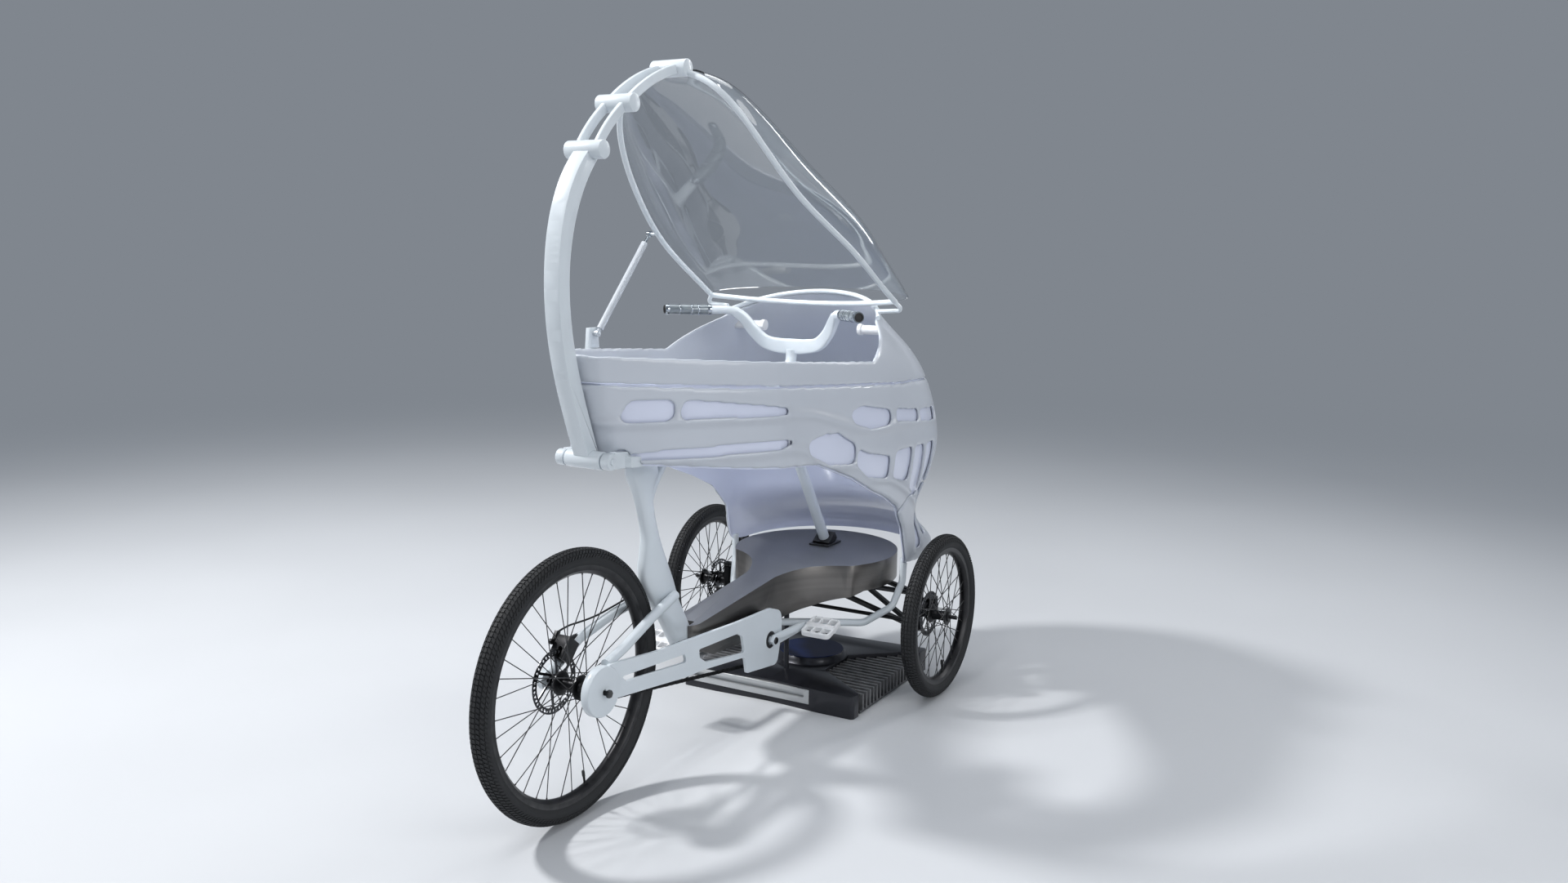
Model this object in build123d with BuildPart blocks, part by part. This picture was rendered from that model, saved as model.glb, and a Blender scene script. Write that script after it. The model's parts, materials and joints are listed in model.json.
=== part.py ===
from build123d import *
import math
import os

# Pedal tricycle with a ring body and a clear canopy, one wheel behind and two in front.
# Millimetres. +X points forward, +Y to the left, +Z up. The ground is z = 0.
# The origin lies on the ground, halfway along and across the tricycle.

# Driving dimensions
rear_axle_x = -657.0
wheelbase = 1264.0
rear_wheel_r = 335.0
rear_tyre_r = 25.0
front_wheel_r = 253.0
front_tyre_r = 24.5
front_track = 846.0
kingpin_y = 352.0
steer_lean = (-0.538, 0.0, 0.843)
column_foot = (1306.0, 0.0, 420.0)
bar_half = 305.0
bar_z = 1196.0
bar_x = 868.0
shell_wall = 12.0
skin_wall = 3.0
barrel_r = 22.0
barrel_half = 52.0
hinge_a = (72.0, 877.0)
hinge_b = (91.0, 1601.0)
hinge_c = (210.0, 1716.0)
hinge_d = (434.0, 1821.0)
strut_foot = (540.0, 1135.0)
strut_eye = (790.0, 1410.0)
strut_y = 327.0
strut_eye_half = 5.0
seat_gap = 0.3
bottom_bracket = (784.0, 251.0)
crank_length = 178.0

os.makedirs("parts", exist_ok=True)


def fx(x):
    """Place along the tricycle, from a distance ahead of the rear axle."""
    return rear_axle_x + x


def save(part, name):
    part.label = name
    export_step(part, "parts/" + name + ".step")


def side_plane(y):
    """Plane seen from the right: sketch x runs forward, sketch y runs up, normal points right."""
    return Plane(origin=(rear_axle_x, y, 0), x_dir=(1, 0, 0), z_dir=(0, -1, 0))


def axle_plane(centre):
    """Plane through a lateral axle: sketch x runs along the axle, sketch y runs up."""
    return Plane(origin=centre, x_dir=(0, 1, 0), z_dir=(1, 0, 0))


def lateral(x, z, y=0.0):
    return Axis((fx(x), y, z), (0, 1, 0))


# Wheels
def tyre(centre, outer_r, section_r, seat_r):
    with BuildPart() as body:
        with BuildSketch(axle_plane(centre)):
            with Locations((0, outer_r - section_r)):
                Circle(section_r)
            with Locations((0, seat_r - 40)):
                Rectangle(80, 80, mode=Mode.SUBTRACT)
        revolve(axis=Axis(centre, (0, 1, 0)))
    return body.part


def spoked_wheel(centre, seat_r, hub_half, flange_y, flange_r, count):
    """Rim, hub with two flanges, and crossed spokes from each flange to the rim."""
    x, y, z = centre
    with BuildPart() as body:
        with BuildSketch(axle_plane(centre)):
            Polygon((-12, seat_r), (12, seat_r), (12, seat_r - 7), (5, seat_r - 16), (-5, seat_r - 16), (-12, seat_r - 7), align=None)
        revolve(axis=Axis(centre, (0, 1, 0)))
        with BuildSketch(axle_plane(centre)):
            Polygon((-hub_half, 6.3), (hub_half, 6.3), (hub_half, 15), (flange_y + 2, 17), (flange_y + 2, flange_r), (flange_y - 2, flange_r), (flange_y - 4, 13), (4 - flange_y, 13), (2 - flange_y, flange_r), (-flange_y - 2, flange_r), (-flange_y - 2, 17), (-hub_half, 15), align=None)
        revolve(axis=Axis(centre, (0, 1, 0)))
        half = count // 2
        for side in (-1, 1):
            for k in range(half):
                rim_a = math.radians(360 / half * k + (180 / half if side > 0 else 0))
                lean = math.radians(58 if k % 2 else -58)
                root = Vector(x + (flange_r - 3) * math.cos(rim_a + lean), y + side * flange_y, z + (flange_r - 3) * math.sin(rim_a + lean))
                tip = Vector(x + (seat_r - 15) * math.cos(rim_a), y, z + (seat_r - 15) * math.sin(rim_a))
                with BuildSketch(Plane(origin=root, z_dir=tip - root)):
                    Rectangle(2.2, 2.2)
        extrude(amount=(tip - root).length)
    return body.part


def rotor(centre, outer_r, inner_r, thick):
    """Brake disc: outer ring, six slanted arms and a carrier ring."""
    x, y, z = centre
    with BuildPart() as body:
        with BuildSketch(Plane(origin=(x, y - thick / 2, z), x_dir=(1, 0, 0), z_dir=(0, 1, 0))):
            Circle(outer_r)
            Circle(outer_r - 14, mode=Mode.SUBTRACT)
            Circle(inner_r + 8)
            for k in range(6):
                a = math.radians(60 * k)
                b = a + math.radians(24)
                r1 = inner_r + 5
                r2 = outer_r - 10
                w = 4.0
                Polygon((r1 * math.cos(a) - w * math.sin(a), r1 * math.sin(a) + w * math.cos(a)), (r2 * math.cos(b) - w * math.sin(b), r2 * math.sin(b) + w * math.cos(b)), (r2 * math.cos(b) + w * math.sin(b), r2 * math.sin(b) - w * math.cos(b)), (r1 * math.cos(a) + w * math.sin(a), r1 * math.sin(a) - w * math.cos(a)), align=None)
            Circle(inner_r, mode=Mode.SUBTRACT)
        extrude(amount=thick)
    return body.part


rear_centre = (fx(0), 0.0, rear_wheel_r)
save(tyre(rear_centre, rear_wheel_r, rear_tyre_r, 296.0), "rear_tyre")
save(spoked_wheel(rear_centre, 296.0, 50.0, 30.0, 30.0, 36), "rear_wheel")
save(rotor((fx(0), 51.2, rear_wheel_r), 80.0, 10.0, 2.4), "rear_rotor")

for side, name in ((1, "left"), (-1, "right")):
    centre = (fx(wheelbase), side * front_track / 2, front_wheel_r)
    save(tyre(centre, front_wheel_r, front_tyre_r, 216.0), "front_" + name + "_tyre")
    save(spoked_wheel(centre, 216.0, 40.0, 26.0, 27.0, 36), "front_" + name + "_wheel")
    save(rotor((fx(wheelbase), side * (front_track / 2 - 36), front_wheel_r), 70.0, 16.2, 2.4), "front_" + name + "_rotor")

# Knuckles: kingpin barrel, spindle, steering arm and brake caliper
for side, name in ((1, "left"), (-1, "right")):
    with BuildPart() as knuckle:
        with BuildSketch(Plane.XY.offset(208)):
            with Locations((fx(wheelbase), side * kingpin_y)):
                Circle(14)
        extrude(amount=96)
        with BuildSketch(Plane.XY.offset(197)):
            with Locations((fx(wheelbase), side * kingpin_y)):
                Circle(6)
        extrude(amount=118)
        with BuildSketch(Plane(origin=(fx(wheelbase), side * kingpin_y, front_wheel_r), x_dir=(1, 0, 0), z_dir=(0, side, 0))):
            Circle(5.8)
        extrude(amount=128)
        with BuildSketch(Plane(origin=(fx(wheelbase), side * kingpin_y, front_wheel_r), x_dir=(1, 0, 0), z_dir=(0, side, 0))):
            Circle(13)
        extrude(amount=28)
        with BuildSketch(Plane.XY.offset(224)):
            with Locations((fx(wheelbase - 38), side * (kingpin_y - 4))):
                Rectangle(76, 16)
        extrude(amount=12)
        with BuildSketch(Plane(origin=(fx(wheelbase + 56), side * kingpin_y, front_wheel_r + 22), x_dir=(1, 0, 0), z_dir=(0, side, 0))):
            Rectangle(44, 30)
        extrude(amount=31)
        with BuildSketch(Plane(origin=(fx(wheelbase + 26), side * (kingpin_y + 8), front_wheel_r + 18), x_dir=(1, 0, 0), z_dir=(0, side, 0))):
            Rectangle(60, 18)
        extrude(amount=12)
    save(knuckle.part, "front_" + name + "_knuckle")

# Rear frame: curved mast, two stays and the axle
mast_rear = ((238, 890), (262, 760), (312, 640), (372, 500), (418, 380), (452, 290))
mast_front = ((330, 890), (345, 740), (390, 620), (446, 490), (500, 372), (545, 290))
with BuildPart() as mast:
    with BuildSketch(side_plane(22)):
        with BuildLine():
            Spline(*mast_rear)
            Spline(*mast_front)
            Line(mast_rear[0], mast_front[0])
            Line(mast_rear[-1], mast_front[-1])
        make_face()
    extrude(amount=44)
    fillet(mast.edges().filter_by(GeomType.BSPLINE), 6)
    with BuildSketch(side_plane(16)):
        Polygon((335, 742), (352, 722), (452, 828), (452, 880), (320, 880), (330, 850), (395, 840), (340, 770), align=None)
    extrude(amount=32)
save(mast.part, "mast")

with BuildPart() as stays:
    for side, start in ((1, (8, 76, 345)), (-1, (34, -80, 392))):
        with BuildLine() as run:
            Polyline((fx(start[0]), start[1], start[2]), (fx(120), side * 70, 408), (fx(250), side * 56, 445), (fx(392), side * 34, 470))
        with BuildSketch(Plane(origin=run.line @ 0, z_dir=run.line % 0)):
            Circle(13)
        sweep(path=run.line, transition=Transition.ROUND)
    with BuildSketch(side_plane(70)):
        with Locations((0, rear_wheel_r)):
            Circle(24)
            Circle(6.2, mode=Mode.SUBTRACT)
    extrude(amount=-14)
    with BuildSketch(side_plane(100)):
        with Locations((0, rear_wheel_r)):
            Circle(6.2)
    extrude(amount=60, mode=Mode.SUBTRACT)
    add(mast.part, mode=Mode.SUBTRACT)
save(stays.part, "stays")

with BuildPart() as rear_axle:
    with BuildSketch(side_plane(-112)):
        with Locations((0, rear_wheel_r)):
            Circle(5.8)
    extrude(amount=-208)
    with BuildSketch(side_plane(-112)):
        with Locations((0, rear_wheel_r)):
            RegularPolygon(10, 6)
    extrude(amount=8)
    with BuildSketch(side_plane(96)):
        with Locations((0, rear_wheel_r)):
            RegularPolygon(10, 6)
    extrude(amount=-8)
save(rear_axle.part, "rear_axle")

# Drive plate: rear drum lobe, two arms around a long window, front lobe at the cranks
bb_x, bb_z = bottom_bracket
with BuildPart() as plate:
    with BuildSketch(side_plane(-88)):
        with Locations((-6, 337)):
            Circle(66)
        with Locations((760, 274)):
            Circle(84)
        Polygon((-6, 403), (250, 380), (500, 362), (760, 358), (760, 200), (652, 200), (622, 300), (574, 322), (324, 321), (102, 332), (40, 300), align=None)
        Polygon((20, 276), (40, 318), (323, 289), (660, 236), (660, 214), (308, 266), align=None)
        Polygon((654, 300), (662, 188), (770, 190), (800, 260), align=None)
        with Locations((bb_x, bb_z)):
            Circle(13, mode=Mode.SUBTRACT)
        with Locations((0, rear_wheel_r)):
            Circle(6.2, mode=Mode.SUBTRACT)
    extrude(amount=10)
    with BuildSketch(side_plane(-78)):
        with Locations((0, rear_wheel_r)):
            Circle(59)
            Circle(6.2, mode=Mode.SUBTRACT)
    extrude(amount=24)
    add(stays.part, mode=Mode.SUBTRACT)
save(plate.part, "drive_plate")

# Chain: one closed loop around the rear sprocket and the chainring
chain_y = -60.0
rear_pr = 32.0
front_pr = 74.0


def chain_loop(half_w, half_h):
    dx = bb_x - 0.0
    dz = bb_z - rear_wheel_r
    dist = math.hypot(dx, dz)
    lean = math.atan2(dz, dx)
    off = math.asin((front_pr - rear_pr) / dist)
    top = lean + math.pi / 2 + off
    low = lean - math.pi / 2 - off
    pts = []
    for (cx, cz, r) in ((0.0, rear_wheel_r, rear_pr), (bb_x, bb_z, front_pr)):
        pts.append(((cx + r * math.cos(top), cz + r * math.sin(top)), (cx + r * math.cos(low), cz + r * math.sin(low))))
    rear_mid = (0.0 - rear_pr * math.cos(lean), rear_wheel_r - rear_pr * math.sin(lean))
    front_mid = (bb_x + front_pr * math.cos(lean), bb_z + front_pr * math.sin(lean))
    return pts, rear_mid, front_mid


with BuildPart() as chain:
    for grow, how in ((4.5, Mode.ADD), (-4.5, Mode.SUBTRACT)):
        rear_pr = 32.0 + grow
        front_pr = 74.0 + grow
        pts, rear_mid, front_mid = chain_loop(0, 0)
        with BuildSketch(side_plane(chain_y + 4)):
            with BuildLine():
                Line(pts[0][0], pts[1][0])
                ThreePointArc(pts[1][0], front_mid, pts[1][1])
                Line(pts[1][1], pts[0][1])
                ThreePointArc(pts[0][1], rear_mid, pts[0][0])
            make_face()
        extrude(amount=8, mode=how)
save(chain.part, "chain")

with BuildPart() as sprocket:
    with BuildSketch(side_plane(chain_y + 1.5)):
        with Locations((0, rear_wheel_r)):
            Circle(27)
            Circle(6.3, mode=Mode.SUBTRACT)
    extrude(amount=3)
    with BuildSketch(side_plane(-50)):
        with Locations((0, rear_wheel_r)):
            Circle(18)
            Circle(6.3, mode=Mode.SUBTRACT)
    extrude(amount=9)
save(sprocket.part, "rear_sprocket")

# Crank set: chainring, spindle and two arms outside the drive plate, the right one forward
crank_y = 104.0
pedal_y = 168.0
with BuildPart() as cranks:
    with BuildSketch(side_plane(chain_y + 1.5)):
        with Locations((bb_x, bb_z)):
            Circle(69)
            Circle(48, mode=Mode.SUBTRACT)
            with PolarLocations(34, 5):
                Rectangle(42, 12)
            Circle(20)
    extrude(amount=3)
    with BuildSketch(side_plane(-crank_y - 12)):
        with Locations((bb_x, bb_z)):
            Circle(10)
    extrude(amount=-2 * crank_y - 24)
    for side, turn in ((-1, 1), (1, -1)):
        with BuildSketch(side_plane(side * crank_y)):
            with BuildLine():
                Polyline((bb_x, bb_z + 15), (bb_x + turn * crank_length, bb_z + 11), (bb_x + turn * (crank_length + 12), bb_z), (bb_x + turn * crank_length, bb_z - 11), (bb_x, bb_z - 15), (bb_x - turn * 15, bb_z), (bb_x, bb_z + 15))
            make_face()
        extrude(amount=-side * 10)
        with BuildSketch(side_plane(side * (crank_y + 4))):
            with Locations((bb_x + turn * crank_length, bb_z)):
                Circle(4)
        extrude(amount=-side * 106)
save(cranks.part, "crankset")

for side, turn, name in ((-1, 1, "right"), (1, -1, "left")):
    with BuildPart() as pedal:
        with BuildSketch(Plane(origin=(fx(bb_x + turn * crank_length), side * pedal_y, bb_z - 9), z_dir=(0, 0, 1))) as tread:
            Rectangle(92, 96)
            fillet(tread.vertices(), 14)
            for px in (-27, 27):
                for py in (-24, 24):
                    with Locations((px, py)):
                        Rectangle(26, 34, mode=Mode.SUBTRACT)
        extrude(amount=18)
        with BuildSketch(side_plane(side * 240)):
            with Locations((bb_x + turn * crank_length, bb_z)):
                Circle(4.3)
        extrude(amount=side * 140, both=True, mode=Mode.SUBTRACT)
    save(pedal.part, "pedal_" + name)

# Floor pan: round front, pinched neck and a tapering tail that rises from below
with BuildPart() as pan:
    with BuildSketch(Plane.XY.offset(230)):
        with BuildLine():
            ThreePointArc((fx(1080), 205), (fx(1500), 0), (fx(1080), -205))
            ThreePointArc((fx(1080), -205), (fx(1004), -102), (fx(885), -50))
            Line((fx(885), -50), (fx(510), -44))
            ThreePointArc((fx(510), -44), (fx(462), 0), (fx(510), 44))
            Line((fx(510), 44), (fx(885), 50))
            ThreePointArc((fx(885), 50), (fx(1004), 102), (fx(1080), 205))
        make_face()
    extrude(amount=200)
    with BuildSketch(side_plane(0)):
        with BuildLine():
            Polyline((1600, 420), (1010, 420), (460, 362), (460, 300), (560, 262), (800, 250), (1010, 297), (1120, 336), (1600, 340), (1600, 420))
        make_face()
    extrude(amount=400, both=True, mode=Mode.INTERSECT)
    with BuildSketch(side_plane(0)):
        with Locations((bb_x, bb_z)):
            Circle(10.7)
    extrude(amount=100, both=True, mode=Mode.SUBTRACT)
    add(mast.part, mode=Mode.SUBTRACT)
save(pan.part, "floor_pan")

# Front axle arms, black, under the pan
with BuildPart() as arms:
    for side in (-1, 1):
        for x0, y0, z0, z1 in ((1170, 70, 318, 201), (1352, 70, 318, 201), (1200, 150, 330, 311), (1330, 150, 330, 311)):
            start = Vector(fx(x0), side * y0, z0)
            end = Vector(fx(wheelbase), side * (kingpin_y - 6), z1)
            with BuildSketch(Plane(origin=start, x_dir=(1, 0, 0), z_dir=end - start)):
                Rectangle(16, 12)
            extrude(amount=(end - start).length)
    with BuildSketch(Plane.XY.offset(300)):
        for side in (-1, 1):
            with Locations((fx(1262), side * 110)):
                Rectangle(200, 70)
    extrude(amount=42)
    for side in (-1, 1):
        for z in (195, 306):
            with BuildSketch(Plane.XY.offset(z)):
                with Locations((fx(wheelbase), side * kingpin_y)):
                    Circle(14)
            extrude(amount=11)
        with BuildSketch(Plane.XY.offset(206)):
            with Locations((fx(wheelbase), side * kingpin_y)):
                Circle(20)
        extrude(amount=100, mode=Mode.SUBTRACT)
        with BuildSketch(Plane.XY.offset(190)):
            with Locations((fx(wheelbase), side * kingpin_y)):
                Circle(6.4)
        extrude(amount=140, mode=Mode.SUBTRACT)
    add(pan.part, mode=Mode.SUBTRACT)
save(arms.part, "front_arms")

with BuildPart() as tie:
    with BuildSketch(Plane(origin=(fx(wheelbase - 70), -(kingpin_y - 4), 243), x_dir=(1, 0, 0), z_dir=(0, 1, 0))):
        Circle(6)
    extrude(amount=2 * (kingpin_y - 4))
    with BuildSketch(Plane.XY.offset(236)):
        for side in (-1, 1):
            with Locations((fx(wheelbase - 70), side * (kingpin_y - 4))):
                Circle(6)
    extrude(amount=12)
save(tie.part, "tie_rod")

# Steering column, handlebar and grips
foot = Vector(fx(column_foot[0]), 0, column_foot[2])
lean = Vector(*steer_lean).normalized()
with BuildPart() as bearing:
    with BuildSketch(Plane(origin=foot + lean * 4, z_dir=lean)):
        Rectangle(52, 60)
        Circle(17.3, mode=Mode.SUBTRACT)
    extrude(amount=26)
    with BuildSketch(Plane.XY.offset(420)):
        with Locations((foot.X - 8, 0)):
            Rectangle(90, 70)
    extrude(amount=6)
    with BuildSketch(Plane(origin=foot - lean * 20, z_dir=lean)):
        Circle(17.3)
    extrude(amount=60, mode=Mode.SUBTRACT)
    add(pan.part, mode=Mode.SUBTRACT)
save(bearing.part, "column_bearing")

with BuildPart() as column:
    with BuildSketch(Plane(origin=foot + lean * 16, z_dir=lean)):
        Circle(17)
        Circle(13, mode=Mode.SUBTRACT)
    extrude(amount=676)
save(column.part, "steering_column")

# (ahead of the rear axle, distance from the middle, height) of the yoke and of the swept grips
yoke_path = ((1066, 0, 1078), (1064, 70, 1082), (1060, 116, 1108), (1024, 172, 1182), (960, 224, 1186))
grip_end = (867, 322, 1188)
with BuildPart() as handlebar:
    for side in (-1, 1):
        with BuildLine() as run:
            FilletPolyline(*[(fx(x), side * y, z) for x, y, z in yoke_path + (grip_end,)], radius=22)
        with BuildSketch(Plane(origin=run.line @ 0, z_dir=run.line % 0)):
            Circle(13)
        sweep(path=run.line)
    with BuildLine() as neck:
        FilletPolyline(tuple(foot + lean * 690), tuple(foot + lean * 730), (fx(990), 0, 1068), (fx(1066), 0, 1078), radius=30)
    with BuildSketch(Plane(origin=neck.line @ 0, z_dir=neck.line % 0)):
        Circle(17)
    sweep(path=neck.line)
    add(column.part, mode=Mode.SUBTRACT)
save(handlebar.part, "handlebar")

with BuildPart() as grips:
    for side in (-1, 1):
        start = Vector(fx(960), side * 224, 1186)
        end = Vector(fx(grip_end[0]), side * grip_end[1], grip_end[2])
        way = (end - start).normalized()
        with BuildSketch(Plane(origin=end + way * 3, z_dir=-way)):
            Circle(16)
        extrude(amount=(end - start).length - 6)
    add(handlebar.part, mode=Mode.SUBTRACT)
save(grips.part, "grips")

# Ring body: plan outlines at rising heights
# height, rear tip, then five half-outline points (x, y) from rear to front, then front tip
ring_levels = (
    (380, 150, 172, 75, 300, 180, 520, 285, 860, 303, 1215, 303, 1515),
    (520, 140, 160, 75, 290, 190, 500, 300, 860, 325, 1225, 325, 1555),
    (660, 130, 150, 75, 280, 198, 480, 315, 860, 346, 1240, 346, 1590),
    (810, 116, 126, 62, 255, 188, 455, 330, 800, 362, 1270, 362, 1638),
    (900, 96, 106, 62, 236, 190, 445, 332, 780, 362, 1250, 354, 1610),
    (1000, 61, 72, 64, 218, 194, 435, 330, 740, 361, 1230, 334, 1555),
    (1080, 38, 50, 64, 210, 194, 430, 326, 700, 358, 1190, 308, 1470),
    (1160, 20, 34, 64, 203, 190, 420, 318, 680, 335, 1100, 268, 1360),
    (1250, 10, 30, 72, 195, 190, 410, 305, 660, 305, 1010, 225, 1265),
)


def ring_solid(inset):
    """Filled body of the ring, its plan drawn in by the inset."""
    with BuildPart() as body:
        for z, xr, x1, y1, x2, y2, x3, y3, x4, y4, x5, y5, xf in ring_levels:
            a = fx(xr + inset)
            p1 = (fx(x1 + 0.6 * inset), y1 - 0.8 * inset)
            p2 = (fx(x2 + 0.35 * inset), y2 - 0.95 * inset)
            p3 = (fx(x3), y3 - inset)
            p4 = (fx(x4), y4 - inset)
            p5 = (fx(x5), y5 - inset)
            b = fx(xf - inset)
            with BuildSketch(Plane.XY.offset(z)):
                with BuildLine():
                    ThreePointArc((p1[0], -p1[1]), (a, 0), p1)
                    ThreePointArc(p1, p2, p3)
                    ThreePointArc(p3, p4, p5)
                    ThreePointArc(p5, (b, 0), (p5[0], -p5[1]))
                    ThreePointArc((p5[0], -p5[1]), (p4[0], -p4[1]), (p3[0], -p3[1]))
                    ThreePointArc((p3[0], -p3[1]), (p2[0], -p2[1]), (p1[0], -p1[1]))
                make_face()
        loft()
    return body.part


ring_out = ring_solid(0)
ring_in = ring_solid(shell_wall)
ring_core = ring_solid(shell_wall + skin_wall)

# Side outlines, (ahead of the rear axle, height)
belt_top = ((-60, 1139), (180, 1121), (600, 1090), (905, 1067), (1106, 1166), (1285, 1232))
belt_low = ((1720, 960), (1060, 990), (868, 1006), (445, 1036), (180, 1054), (-60, 1072))
skirt_low = ((-60, 888), (154, 858), (377, 832), (608, 814), (790, 750), (925, 691), (1023, 655), (1124, 607), (1193, 530), (1217, 437), (1228, 412), (1300, 404), (1720, 404))
shield_top = ((1720, 640), (1330, 640), (1200, 620), (1090, 560))


def side_prism(points, radius):
    with BuildPart() as body:
        with BuildSketch(side_plane(0)) as outline:
            with BuildLine():
                Polyline(*points, close=True)
            make_face()
            fillet([v for v in outline.vertices() if v.X < 1500 and v.X > -50], radius)
        extrude(amount=500, both=True)
    return body.part


belt_prism = side_prism(belt_top + ((1720, 1237),) + belt_low, 10)
skirt_prism = side_prism(tuple(reversed(belt_low)) + tuple(reversed(skirt_low)), 6)
shield_prism = side_prism(((1720, 300), (1000, 300), (1000, 560), (1090, 560), (1200, 630), (1330, 650), (1720, 650)), 20)

# Window openings of the side walls, corner points seen from the side
# (points, corner radius)
windows = (
    (((112, 1016), (196, 1014), (196, 972), (100, 972)), 9),
    (((214, 1014), (290, 1004), (400, 988), (505, 970), (505, 965), (400, 970), (290, 974), (214, 972)), 2),
    (((760, 936), (820, 944), (872, 940), (1000, 918), (1018, 900), (1000, 880), (874, 884), (790, 908)), 8),
    (((1050, 914), (1215, 895), (1215, 866), (1050, 884)), 8),
    (((1232, 893), (1380, 884), (1380, 852), (1232, 862)), 8),
    (((130, 884), (230, 893), (400, 897), (500, 898), (500, 886), (400, 882), (230, 876), (150, 874)), 2),
    (((556, 880), (640, 890), (700, 886), (795, 842), (795, 796), (660, 812), (570, 850)), 8),
    (((810, 828), (880, 806), (1010, 780), (1010, 722), (880, 744), (810, 786)), 8),
    (((1045, 790), (1165, 786), (1158, 690), (1045, 716)), 10),
    (((1185, 786), (1260, 784), (1256, 620), (1186, 668)), 10),
    (((1280, 784), (1345, 782), (1338, 575), (1280, 600)), 10),
    (((1372, 780), (1420, 778), (1410, 470), (1368, 480)), 8),
    (((1300, 560), (1335, 550), (1330, 450), (1290, 450)), 8),
    (((1446, 776), (1480, 774), (1470, 480), (1444, 480)), 6),
)
with BuildPart() as window_tool:
    for points, radius in windows:
        with BuildSketch(side_plane(0)) as outline:
            with BuildLine():
                Polyline(*points, close=True)
            make_face()
            fillet(outline.vertices(), radius)
        extrude(amount=500, both=True)

# Crosspiece inside the shell, carried by the mast, its ends against the liner
with BuildPart() as crosspiece:
    with BuildSketch(side_plane(0)) as outline:
        with Locations((300, 880)):
            Rectangle(56, 30)
        fillet(outline.vertices(), 8)
    extrude(amount=300, both=True)
    add(ring_core, mode=Mode.INTERSECT)
    add(mast.part, mode=Mode.SUBTRACT)
save(crosspiece.part, "body_crosspiece")

with BuildPart() as lugs:
    for side in (-1, 1):
        with BuildSketch(side_plane(side * (barrel_half + 5))):
            with Locations(hinge_a):
                Circle(20)
                Circle(8.2, mode=Mode.SUBTRACT)
        extrude(amount=-side * 22)
        with BuildSketch(side_plane(side * (barrel_half + 5))):
            Polygon((78, 858), (178, 852), (178, 892), (84, 897), align=None)
            with Locations(hinge_a):
                Circle(19, mode=Mode.SUBTRACT)
        extrude(amount=-side * 22)
        with BuildSketch(side_plane(side * (barrel_half + 5))):
            Polygon((120, 858), (280, 846), (280, 862), (120, 885), align=None)
        extrude(amount=-side * 40)
    add(mast.part, mode=Mode.SUBTRACT)
    add(crosspiece.part, mode=Mode.SUBTRACT)
save(lugs.part, "roof_lugs")

with BuildPart() as wall:
    add(ring_out)
    add(ring_in, mode=Mode.SUBTRACT)

with BuildPart() as belt:
    add(wall.part)
    add(belt_prism, mode=Mode.INTERSECT)
save(belt.part, "body_belt")

# Tube along the front edge of the cowl, and the two rubber-tipped stops inside it
with BuildPart() as collar:
    with BuildLine() as run:
        ThreePointArc((fx(1108), -266, 1172), (fx(1281), 0, 1238), (fx(1108), 266, 1172))
    with BuildSketch(Plane(origin=run.line @ 0, z_dir=run.line % 0)):
        Circle(7)
    sweep(path=run.line)
    add(belt.part, mode=Mode.SUBTRACT)
save(collar.part, "cowl_collar")

with BuildPart() as stops:
    for side in (-1, 1):
        with BuildSketch(side_plane(side * 165)):
            with Locations((1187, 1130)):
                Circle(14)
        extrude(amount=-side * 140)
        with BuildSketch(side_plane(side * 165)):
            with Locations((1187, 1130)):
                Circle(17)
        extrude(amount=-side * 12)
    add(ring_in, mode=Mode.INTERSECT)
save(stops.part, "cowl_stops")

with BuildPart() as lattice:
    add(wall.part)
    add(skirt_prism, mode=Mode.INTERSECT)
    add(window_tool.part, mode=Mode.SUBTRACT)

with BuildPart() as skirt:
    add(lattice.part)
    add(shield_prism, mode=Mode.SUBTRACT)
    with BuildSketch(side_plane(92)):
        with Locations(hinge_a):
            Circle(barrel_r + 6)
    extrude(amount=184, mode=Mode.SUBTRACT)
    add(lugs.part, mode=Mode.SUBTRACT)
    add(mast.part, mode=Mode.SUBTRACT)
save(skirt.part, "body_shell")

with BuildPart() as shield:
    add(lattice.part)
    add(shield_prism, mode=Mode.INTERSECT)
save(shield.part, "leg_shield")

with BuildPart() as liner:
    add(ring_in)
    add(ring_core, mode=Mode.SUBTRACT)
    add(skirt_prism, mode=Mode.INTERSECT)
    add(lugs.part, mode=Mode.SUBTRACT)
    add(mast.part, mode=Mode.SUBTRACT)
save(liner.part, "body_liner")

# Rear brake: caliper over the disc, its lever, and the cable along the left stay into the mast
with BuildPart() as brake:
    with BuildSketch(side_plane(78)):
        with Locations(Location((46, 402), -40)):
            Rectangle(44, 58)
    extrude(amount=40)
    with BuildSketch(side_plane(58)):
        with Locations((0, rear_wheel_r)):
            Circle(86)
    extrude(amount=13.4, mode=Mode.SUBTRACT)
    with BuildSketch(side_plane(86)):
        Polygon((30, 420), (46, 414), (60, 440), (48, 446), align=None)
    extrude(amount=8)
    with BuildSketch(side_plane(84)):
        with Locations((66, 384), (26, 424)):
            Circle(7)
    extrude(amount=8)
    with BuildSketch(side_plane(78)):
        Polygon((60, 420), (80, 400), (128, 404), (128, 420), align=None)
    extrude(amount=10)
    add(stays.part, mode=Mode.SUBTRACT)
save(brake.part, "rear_brake")

cable_route = (
    (53, 83, 440),
    (92, 84, 446),
    (140, 80, 444),
    (190, 68, 449),
    (240, 58, 461),
    (300, 50, 473),
    (352, 42, 480),
    (384, 14, 478),
)
with BuildPart() as cable:
    with BuildLine() as run:
        FilletPolyline(*[(fx(x), y, z) for x, y, z in cable_route], radius=14)
    with BuildSketch(Plane(origin=run.line @ 0, z_dir=run.line % 0)):
        Circle(2.5)
    sweep(path=run.line)
    add(mast.part, mode=Mode.SUBTRACT)
    add(brake.part, mode=Mode.SUBTRACT)
    add(stays.part, mode=Mode.SUBTRACT)
save(cable.part, "brake_cable")

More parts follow.
